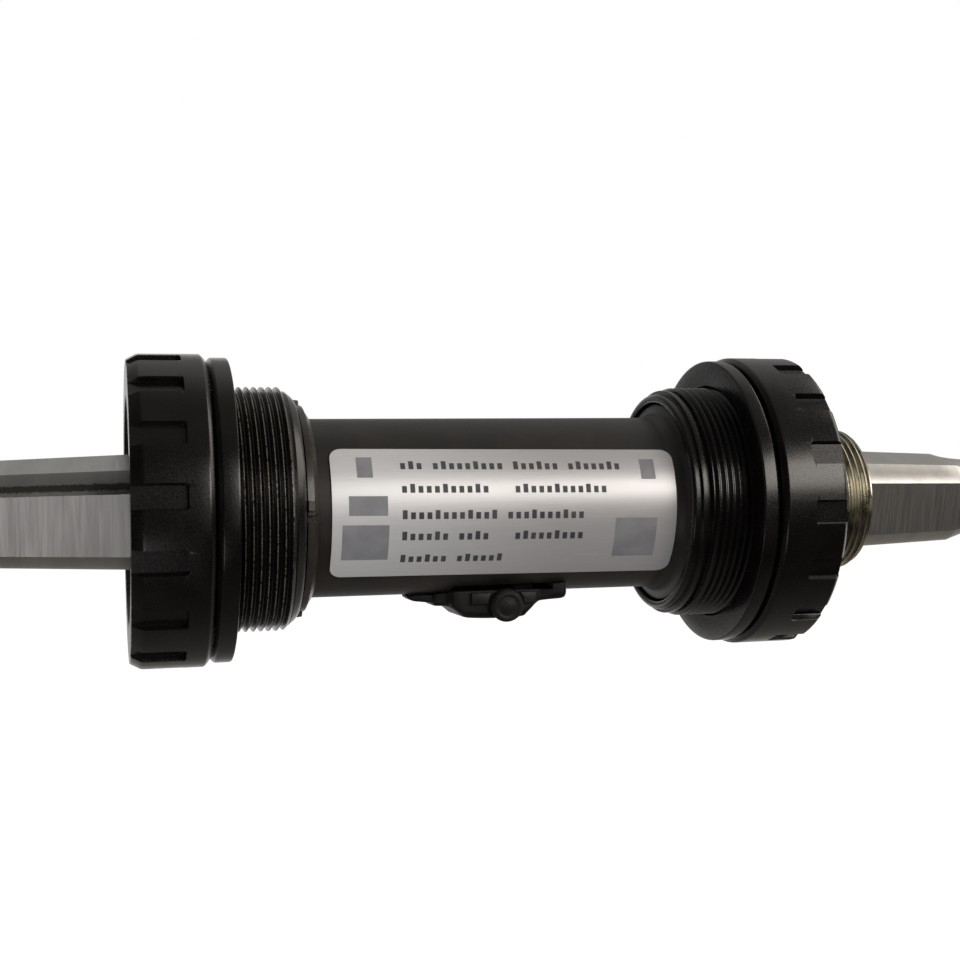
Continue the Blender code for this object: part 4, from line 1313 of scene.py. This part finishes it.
@dataclass
class SensorTube:
    """The housing tube, flared to a flange in the right cup, with its window underneath."""

    left: float = -35.0
    right: float = 34.5
    bore: float = 11.6
    radius: float = 12.85
    flange: float = 14.9
    flange_in: float = 28.3
    flare: float = 1.7
    groove: Point = (32.1, 33.9, 13.65)
    window: Pair = (-5.0, 9.9)
    window_front: float = -5.8
    window_back: float = 5.1

    def build(self) -> None:
        """Make the tube and cut its window."""
        g0, g1, gr = self.groove
        rise = self.flange - self.radius
        corners = [(self.left, self.bore, 0.1), (self.left, self.radius, 0.3),
                   (self.flange_in - self.flare, self.radius, 0.6),
                   (self.flange_in - 0.17 * self.flare, self.radius + 0.32 * rise, 0.5),
                   (self.flange_in, self.radius + 0.85 * rise, 0.1), (self.flange_in + 0.15, self.flange, 0.1),
                   (g0, self.flange, 0.1), (g0, gr, 0), (g1, gr, 0), (g1, self.flange, 0.1),
                   (self.right, self.flange, 0.3), (self.right, self.bore, 0.1)]
        shell = Shell()
        turned(shell, fillets(corners, True, 6), Side.RIGHT, 192)
        tube = shell.to_object("black_sensor_tube", 24.0)
        window = rounded_box("window_cutter", (self.window[0], self.window_front, -2 * self.radius),
                             (self.window[1], self.window_back, -self.radius / 2), 0.0)
        fit(cut(tube, [window]), "housing", "black_anodised", Finish.TUBE, "housing_tube")


@dataclass
class Label:
    """The silver sticker, printed with plain blocks and bars."""

    left: float = -23.5
    right: float = 26.6
    top: float = 37.5
    bottom: float = -47.6
    drift: float = -3.0
    inner: float = 13.0
    outer: float = 13.15
    corner: float = 1.7
    ink: float = 0.018
    lines_left: float = -13.9
    block_step: float = 1.16
    block_ends: Pair = (0.14, 0.82)
    block_heights: tuple[float, ...] = (0.95, 1.25, 0.95, 0.95, 1.25, 0.95, 0.95, 0.95, 1.25, 0.95, 0.95)
    lines: tuple[tuple[float, tuple[int, ...]], ...] = (
        (6.45, (3, 9, 6, 7)), (3.05, (11, 0, 0, 12)), (-0.6, (12, 10)), (-3.6, (6, 4, 0, 0, 9)),
        (-7.1, (6, 6)))
    bars: tuple[tuple[float, float, float, float], ...] = (
        (-19.9, -17.7, 5.2, 8.3), (21.4, 23.6, 5.0, 8.1), (-21.2, -15.8, -0.1, 2.6), (-22.1, -15.6, -6.6, -1.4),
        (17.3, 23.6, -6.6, -0.6))

    def place(self, x: float, s: float, r: float) -> Point:
        """Give a point of the label.

        Args:
            x: millimetres along the axis.
            s: millimetres up from the label's middle line, along the surface.
            r: distance from the axis.

        Returns:
            The point in metres.
        """
        middle = (self.top + self.bottom) / 2
        askew = self.drift * ((x - self.left) / (self.right - self.left) - 0.5)
        return around(x, r, middle + math.degrees(s / self.outer) + askew)

    def half_height(self, x: float) -> float:
        """Give half the label's height at one place along it, with its round corners."""
        half = math.radians(self.top - self.bottom) / 2 * self.outer
        inset = self.corner - min(x - self.left, self.right - x)
        if inset <= 0:
            return half
        return half - self.corner + math.sqrt(max(self.corner ** 2 - inset ** 2, 0.0))

    def film(self) -> None:
        """Make the sticker as a thin curved plate."""
        arc = [self.corner * (1 - math.cos(math.radians(90 * k / 8))) for k in range(9)]
        xs = [self.left + a for a in arc] + [self.left + 4 + 4 * k for k in range(11)]
        xs += [self.right - a for a in arc[::-1]]
        rows = []
        for x in xs:
            half = self.half_height(x)
            levels = [half * (2 * k / 40 - 1) for k in range(41)]
            rows.append([self.place(x, s, self.outer) for s in levels]
                        + [self.place(x, s, self.inner) for s in levels[::-1]])
        shell = Shell()
        shell.add_prism(rows)
        fit(shell.to_object("silver_label_film", 40.0), "housing", "silver_film", Finish.FILM, "rating_label")

    def block(self, shell: Shell, x0: float, x1: float, s0: float, s1: float) -> None:
        """Add a rectangle of ink, in steps that follow the tube.

        Args:
            shell: the print's mesh.
            x0: left end.
            x1: right end.
            s0: foot, measured up the label.
            s1: top.
        """
        n = max(1, math.ceil((s1 - s0) / 0.5))
        low, high = self.outer - 0.01, self.outer + self.ink
        rows = []
        for k in range(n + 1):
            s = s0 + (s1 - s0) * k / n
            rows.append([self.place(x0, s, low), self.place(x0, s, high), self.place(x1, s, high),
                         self.place(x1, s, low)])
        shell.add_prism(rows)

    def print_marks(self) -> None:
        """Make the print: five lines of small upright blocks in groups, and larger half-tone blocks."""
        shell = Shell()
        heights = cycle(self.block_heights)
        start, stop = self.block_ends
        for s, groups in self.lines:
            x = self.lines_left
            for count in groups:
                for _ in range(count):
                    self.block(shell, x + start, x + stop, s, s + next(heights))
                    x += self.block_step
                x += self.block_step
        fit(shell.to_object("label_print_blocks", 40.0), "housing", "silver_film", Finish.INK)
        shell = Shell()
        for bar in self.bars:
            self.block(shell, *bar)
        fit(shell.to_object("label_half_tone_blocks", 40.0), "housing", "silver_film", Finish.TINT)

    def build(self) -> None:
        """Make the film and the print on it."""
        self.film()
        self.print_marks()


@dataclass
class OutletMoulding:
    """The moulding under the tube that the lead comes out of, with its plug."""

    seat: float = 13.15
    back_seat: float = 12.88
    tube: float = 12.85
    rounding: float = 1.0
    line: tuple[Point, ...] = (
        (-11.0, 0.35, 1.6), (-10.6, 0.7, 2.0), (-10.0, 0.95, 2.2), (-7.4, 1.25, 2.4), (-7.1, 1.7, 3.0),
        (-5.4, 1.7, 3.8), (-4.9, 1.95, 5.2), (-4.3, 2.35, 5.4), (-3.1, 3.4, 5.4), (0.8, 3.6, 5.4),
        (5.7, 3.55, 5.4), (7.0, 2.3, 5.4), (7.6, 1.7, 5.4), (8.2, 1.25, 5.4), (9.6, 1.05, 6.2),
        (11.3, 0.95, 6.4), (11.8, 0.8, 6.2), (12.1, 0.55, 5.6))
    half: float = 5.4
    inside: float = 4.3
    window: Pair = (-5.0, 9.9)
    pocket: Pair = (-3.6, 8.5)
    deep: Pair = (-1.9, 4.9)
    pocket_low: float = -13.7
    deep_low: float = -15.3
    sill: float = -12.35
    pads: tuple[float, ...] = (-0.9, 6.0)
    pad_width: float = 2.9
    pad_proud: float = 0.5
    pad_low: float = -14.3
    pad_high: float = -12.6
    plug_at: Point = (2.9, -5.4, -14.3)
    plug_r: float = 2.45
    neck: float = 1.5
    plug_lean: float = 12.0

    def section(self, x: float, drop: float, half: float) -> Row:
        """Give one section, with round lower edges and a top that follows the tube.

        Args:
            x: millimetres along the axis.
            drop: depth below the tube.
            half: half its width.

        Returns:
            The loop of points.
        """
        low = -(self.tube + drop)
        front, back = (-math.sqrt(seat ** 2 - half ** 2) for seat in (self.seat, self.back_seat))
        r = min(self.rounding, (front - low) * 0.45)
        loop = [(-half, front)]
        for k in range(7):
            t = math.radians(15 * k)
            loop.append((-half + r - r * math.cos(t), low + r - r * math.sin(t)))
        loop += [(-half * 0.3, low), (half * 0.3, low)]
        for k in range(7):
            t = math.radians(90 - 15 * k)
            loop.append((half - r + r * math.cos(t), low + r - r * math.sin(t)))
        loop.append((half, back))
        for k in range(1, 12):
            y = half - 2 * half * k / 12
            seat = self.back_seat + (self.seat - self.back_seat) * k / 12
            loop.append((y, -math.sqrt(seat ** 2 - y ** 2)))
        return [(x * MM, y * MM, z * MM) for y, z in loop]

    def sections(self) -> list[Row]:
        """Give the sections, with the steps between them eased."""
        rows, line = [], self.line
        for i, (x, drop, half) in enumerate(line):
            if 0 < i < len(line) - 1:
                before, after = line[i - 1], line[i + 1]
                for f, g in ((0.3, 0.0), (0.12, 0.0), (0.0, 0.12), (0.0, 0.3)):
                    mix = [a + (b - a) * f for a, b in zip(line[i], before)]
                    mix = [a + (b - c) * g for a, b, c in zip(mix, after, line[i])]
                    ease = 0.06 if (f, g) in ((0.12, 0.0), (0.0, 0.12)) else 0.0
                    pull = [(b + c) / 2 - a for a, b, c in zip(line[i], before, after)]
                    rows.append(self.section(mix[0], mix[1] + pull[1] * ease, mix[2] + pull[2] * ease))
            else:
                rows.append(self.section(x, drop, half))
        return rows

    def body(self) -> Object:
        """Make the moulding with its pads, pockets, sill and the plug's bore."""
        shell = Shell()
        shell.add_prism(self.sections())
        body = shell.to_object("moulding_body")
        y = self.inside
        cutters = [rounded_box("pocket", (self.pocket[0], -y, self.pocket_low), (self.pocket[1], y, 0.0), 0.0),
                   rounded_box("deep_pocket", (self.deep[0], -y, self.deep_low), (self.deep[1], y, -6.0), 0.0),
                   rounded_box("sill", (self.window[0], -2 * y, self.sill), (self.window[1], 0.3 - y, 0.0), 0.0),
                   self.bore()]
        parts = [cut(body, cutters)]
        for c in self.pads:
            pad = rounded_box("pad", (c - self.pad_width / 2, -self.half - self.pad_proud, self.pad_low),
                              (c + self.pad_width / 2, -self.half + 0.6, self.pad_high), 0.14)
            parts.append(cut(pad, [self.bore()]))
        return joined("outlet_moulding", parts, 30.0)

    def bore(self) -> Object:
        """Make the cutter that leaves room for the plug's neck and head."""
        return self.on_axis("plug_bore", [(-1.4, self.neck + 0.3), (0.0, self.neck + 0.3), (0.0, self.plug_r + 0.3),
                                          (2.5, self.plug_r + 0.3)])

    def on_axis(self, name: str, profile: list[Pair]) -> Object:
        """Make a round body on the outlet's leaning axis.

        Args:
            name: the object's name.
            profile: (along, radius) points, outward from the mouth, with flat ends.

        Returns:
            The object.
        """
        t = math.radians(self.plug_lean)
        axis = Vector((0.0, -math.cos(t), -math.sin(t)))
        across = Vector((1.0, 0.0, 0.0))
        up = axis.cross(across)
        mouth = Vector(self.plug_at)
        sides = 48
        rows = [[tuple(mouth + axis * profile[0][0])]]
        for s, r in profile:
            rows.append([tuple(mouth + axis * s + across * (r * math.cos(2 * math.pi * k / sides))
                               + up * (r * math.sin(2 * math.pi * k / sides))) for k in range(sides)])
        rows.append([tuple(mouth + axis * profile[-1][0])])
        shell = Shell()
        shell.add_rows([[tuple(c * MM for c in p) for p in row] for row in rows])
        return shell.to_object(name)

    def plug(self) -> Object:
        """Make the plug: a neck, and a head with a raised lip round a shallow dimple."""
        r = self.plug_r
        corners = [(-1.1, self.neck, 0), (0.3, self.neck, 0), (0.3, r, 0.1), (1.15, r, 0.15), (1.6, r - 0.4, 0.15),
                   (1.62, r - 0.75, 0.12), (1.42, r - 0.95, 0.12), (1.5, 1.1, 0.15), (1.72, 0.55, 0.2),
                   (1.76, 0.2, 0)]
        return self.on_axis("lead_outlet_plug", fillets(corners, False, 3))

    def build(self) -> None:
        """Make the moulding and the plug in its mouth."""
        fit(self.body(), "housing", "moulded_black", Finish.MOULDING, "outlet_cover")
        fit(self.plug(), "housing", "rubber", Finish.RUBBER, "outlet_plug")


@dataclass
class BallSet:
    """One bearing's balls with one ring of wire standing for the two pressed wires of their cage; they turn
    together.
    """

    side: Side
    count: int
    ball: float
    pitch: float
    middle: float = 44.7
    wire: float = 0.45

    def build(self) -> None:
        """Make one ball with its stretch of cage and repeat it."""
        bm = bmesh.new()
        place = Matrix.Translation(around(self.side.value * self.middle, self.pitch, 0.0))
        bmesh.ops.create_uvsphere(bm, u_segments=14, v_segments=9, radius=self.ball * MM, matrix=place)
        ball = mesh_object("ball", stored("ball", bm), 60.0)
        half = 180.0 / self.count
        shell = Shell()
        rows = []
        for k in range(9):
            deg = -half + 2 * half * k / 8
            rows.append([around(self.side.value * (self.middle + self.wire * math.cos(t)),
                                self.pitch + self.wire * math.sin(t), deg)
                         for t in (math.radians(60 * n) for n in range(6))])
        shell.add_rows(rows)
        sector = joined(self.side.named("caged_balls"), [ball, shell.to_object("cage")], 60.0)
        fit(ring_of(sector, self.count, 0.0), self.side.named("balls"), "bearing_steel", Finish.BEARING,
            self.side.named("ball_cage"))


@dataclass
class InnerPieces:
    """The solids that stay as they are and take a finish."""

    finishes: dict[str, Finish] = field(default_factory=lambda: {
        "left_bearing_inner": Finish.BEARING, "left_bearing_outer": Finish.BEARING,
        "right_bearing_inner": Finish.BEARING, "right_bearing_outer": Finish.BEARING,
        "sleeve_circlip": Finish.BEARING, "magnet_ring": Finish.FERRITE, "coil_bobbin": Finish.NYLON,
        "left_coil": Finish.COPPER, "middle_coil": Finish.COPPER, "right_coil": Finish.COPPER,
        "left_bush": Finish.BUSH, "right_bush": Finish.BUSH, "left_o_ring": Finish.RUBBER,
        "right_o_ring": Finish.RUBBER, "circuit_board": Finish.RESIST, "sensor_chip": Finish.EPOXY,
        "control_chip": Finish.EPOXY})

    def build(self) -> None:
        """Assign the finishes to the nodes' slots."""
        for node, finish in self.finishes.items():
            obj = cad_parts[node]
            for slot in obj.material_slots:
                slot.material = PAINT.get(finish)
            LOG.info("%s: kept, %s", node, finish.value)


# ---------------------------------------------------------------- studio


@dataclass(frozen=True)
class Lamp:
    """A soft rectangular lamp that faces the object.

    It stands turn degrees from the label's side toward the drive side, rise degrees above the axis
    and far metres away. Its size is its width and height in degrees, seen from the object; its
    level is how bright it looks, where 1 is white; gloss says whether it shows in gloss.
    """

    name: str
    turn: float
    rise: float
    size: Pair
    level: float
    colour: str
    far: float = 0.7
    gloss: bool = True

    def build(self) -> None:
        """Make the lamp."""
        width, height = (2 * self.far * math.tan(math.radians(a / 2)) for a in self.size)
        data = bpy.data.lights.new(self.name, "AREA")
        data.shape = "RECTANGLE"
        data.size, data.size_y = width, height
        data.energy = self.level * math.pi * width * height
        data.color = linear(self.colour)[:3]
        lamp = placed(self.name, data)
        lamp.visible_glossy = self.gloss
        t, e = math.radians(self.turn), math.radians(self.rise)
        place = Vector((math.sin(t) * math.cos(e), -math.cos(t) * math.cos(e), math.sin(e)))
        lamp.location = place * self.far
        lamp.rotation_euler = (-lamp.location).to_track_quat("-Z", "Y").to_euler()


@dataclass
class Studio:
    """The pale floor, the white surroundings, the lamps and the photograph's camera.

    The room in front of the object is dim, as it is behind the camera, two soft windows stand to
    the right, and a bright sheet lies near, low on the left. Direct sight, glass and what gloss
    shows of the far side are white.
    """

    floor_z: float = -115.0
    floor_half: float = 3.0
    front: float = 0.045
    above: float = 0.12
    behind: float = 0.38
    fill: float = 0.4
    back_range: Pair = (-0.1, 0.55)
    above_range: Pair = (0.6, 0.95)
    left_range: Pair = (-0.5, -0.1)
    left_level: float = 0.35
    sky_ahead: Pair = (0.88, 0.95)
    sky_side: Pair = (-0.36, -0.2)
    # the Y range over which the paper's painted shade goes from dark in front to paler behind
    paper_shade_range: Pair = (-120.0, 60.0)
    floor_ahead: Pair = (60.0, 420.0)
    floor_side: Pair = (-260.0, -120.0)
    focal: float = 1466.16
    image: float = 960.0
    yaw: float = 0.2579
    roll: float = -0.0142
    centre: Point = (-54.792, -210.501, 3.703)
    lamps: tuple[Lamp, ...] = (
        Lamp("front_window", 38.0, 18.8, (46.0, 21.0), 5.4, "#fff8f0"),
        Lamp("side_window", 95.0, 30.0, (34.0, 44.0), 2.2, "#fff6ea"),
        Lamp("low_sheet", -28.5, -27.0, (20.0, 16.0), 1.7, "#fbf8f8", 0.21),
        Lamp("left_gap", 12.5, -6.0, (7.0, 84.0), 1.0, "#fbfafc"),
        Lamp("near_sheet", -38.0, -24.0, (38.0, 30.0), 5.4, "#f8f8fc", 0.26, False))

    def seen(self, tree: Tree, parts: Node, ahead: Pair, side: Pair) -> Node:
        """Add the mask of rays that meet the white background.

        Args:
            tree: the stage's material or world.
            parts: x, y and z of the place, or of the ray's direction.
            ahead: the range of y over which it starts to show in gloss.
            side: the same range of x.

        Returns:
            A node whose Value is 1 for the camera's rays, through glass, and for such gloss.
        """
        deep = ramp(tree, parts, "Y", *ahead)
        wide = ramp(tree, parts, "X", *side)
        far = calc(tree, "MULTIPLY", (deep, "Result"), (wide, "Result"))
        path = add(tree, "ShaderNodeLightPath")
        shine = calc(tree, "MULTIPLY", (path, "Is Glossy Ray"), (far, "Value"))
        direct = calc(tree, "MAXIMUM", (path, "Is Camera Ray"), (path, "Is Transmission Ray"))
        return calc(tree, "MAXIMUM", (direct, "Value"), (shine, "Value"))

    def world(self) -> None:
        """Make the surroundings: a dim room, brighter above and behind, and white where it is seen."""
        world = bpy.data.worlds.new("studio")
        bpy.context.scene.world = world
        world.use_nodes = True
        tree = world.node_tree
        tree.nodes.clear()
        way = add(tree, "ShaderNodeTexCoord")
        parts = add(tree, "ShaderNodeSeparateXYZ", links={0: (way, "Generated")})
        back = ramp(tree, parts, "Y", *self.back_range, self.front, self.behind)
        top = ramp(tree, parts, "Z", *self.above_range, 0.0, self.above)
        both = calc(tree, "ADD", (back, "Result"), (top, "Result"))
        dim = ramp(tree, parts, "X", *self.left_range, self.left_level, 1.0)
        room = calc(tree, "MULTIPLY", (both, "Value"), (dim, "Result"))
        path = add(tree, "ShaderNodeLightPath")
        level = add(tree, "ShaderNodeMix", {"data_type": "FLOAT", 3: self.fill},
                    {0: (path, "Is Diffuse Ray"), 2: (room, "Value")})
        grey = add(tree, "ShaderNodeBackground", {"Color": linear("#f6f3ef")}, {"Strength": (level, 0)})
        white = add(tree, "ShaderNodeBackground", {"Color": (1, 1, 1, 1), "Strength": 1.0})
        seen = self.seen(tree, parts, self.sky_ahead, self.sky_side)
        mix = add(tree, "ShaderNodeMixShader", {}, {0: (seen, "Value"), 1: (grey, 0), 2: (white, 0)})
        add(tree, "ShaderNodeOutputWorld", links={"Surface": (mix, 0)})

    def floor(self) -> None:
        """Make the floor: white where it is seen but for the object's shadow, with paper painted dark in front and
        paler behind, a painted shade for the dim room in front.
        """
        mesh = bpy.data.meshes.new("floor")
        size, z = self.floor_half, self.floor_z * MM
        corners = [(-size, -size, z), (size, -size, z), (size, size, z), (-size, size, z)]
        mesh.from_pydata(corners, [], [(0, 1, 2, 3)])
        floor = placed("floor", mesh)
        material = bpy.data.materials.new("white_paper_floor")
        material.use_nodes = True
        tree = material.node_tree
        tree.nodes.clear()
        place = Coordinates(tree)
        # painted shade: the paper is coloured dark in front and paler behind, standing in for the dim room in front;
        # gloss and bounced light see it
        depth = blend(tree, ramp(tree, place.parts, "Y", *self.paper_shade_range), "#262524", "#8f8d8a")
        paper = add(tree, "ShaderNodeBsdfDiffuse", links={"Color": (depth, 2)})
        shaded = add(tree, "ShaderNodeBsdfDiffuse", {"Color": linear("#a8a7a5")})
        glow = add(tree, "ShaderNodeEmission", {"Color": (1, 1, 1, 1), "Strength": 0.9})
        lifted = add(tree, "ShaderNodeAddShader", links={0: (shaded, 0), 1: (glow, 0)})
        seen = self.seen(tree, place.parts, self.floor_ahead, self.floor_side)
        mix = add(tree, "ShaderNodeMixShader", {}, {0: (seen, "Value"), 1: (paper, 0), 2: (lifted, 0)})
        add(tree, "ShaderNodeOutputMaterial", links={"Surface": (mix, 0)})
        mesh.materials.append(material)

    def camera(self) -> None:
        """Make the camera that was fitted to the photograph, with no shift."""
        data = bpy.data.cameras.new("photo_camera")
        data.lens = self.focal * data.sensor_width / self.image
        data.clip_start, data.clip_end = 0.01, 20.0
        camera = placed("photo_camera", data)
        ahead = Vector((math.sin(self.yaw), math.cos(self.yaw), 0.0))
        level = Vector((math.cos(self.yaw), -math.sin(self.yaw), 0.0))
        up = level.cross(ahead)
        right = level * math.cos(self.roll) + up * math.sin(self.roll)
        top = up * math.cos(self.roll) - level * math.sin(self.roll)
        turn = Matrix((right, top, -ahead)).transposed().to_4x4()
        camera.matrix_world = Matrix.Translation(Vector(self.centre) * MM) @ turn
        bpy.context.scene.camera = camera

    def build(self) -> None:
        """Make the whole studio."""
        bpy.context.scene.view_settings.view_transform = "Standard"
        self.world()
        self.floor()
        self.camera()
        for lamp in self.lamps:
            lamp.build()


def main() -> None:
    """Build every sub-assembly in order."""
    logging.basicConfig(level=logging.INFO, format="%(message)s")
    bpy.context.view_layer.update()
    LeftCup().build()
    RightCup().build()
    Spindle().build()
    TorqueSleeve().build()
    SensorTube().build()
    Label().build()
    OutletMoulding().build()
    BallSet(Side.LEFT, 11, 1.7, 11.9).build()
    BallSet(Side.RIGHT, 16, 1.45, 15.65).build()
    InnerPieces().build()
    Studio().build()


if __name__ == "__main__":
    main()
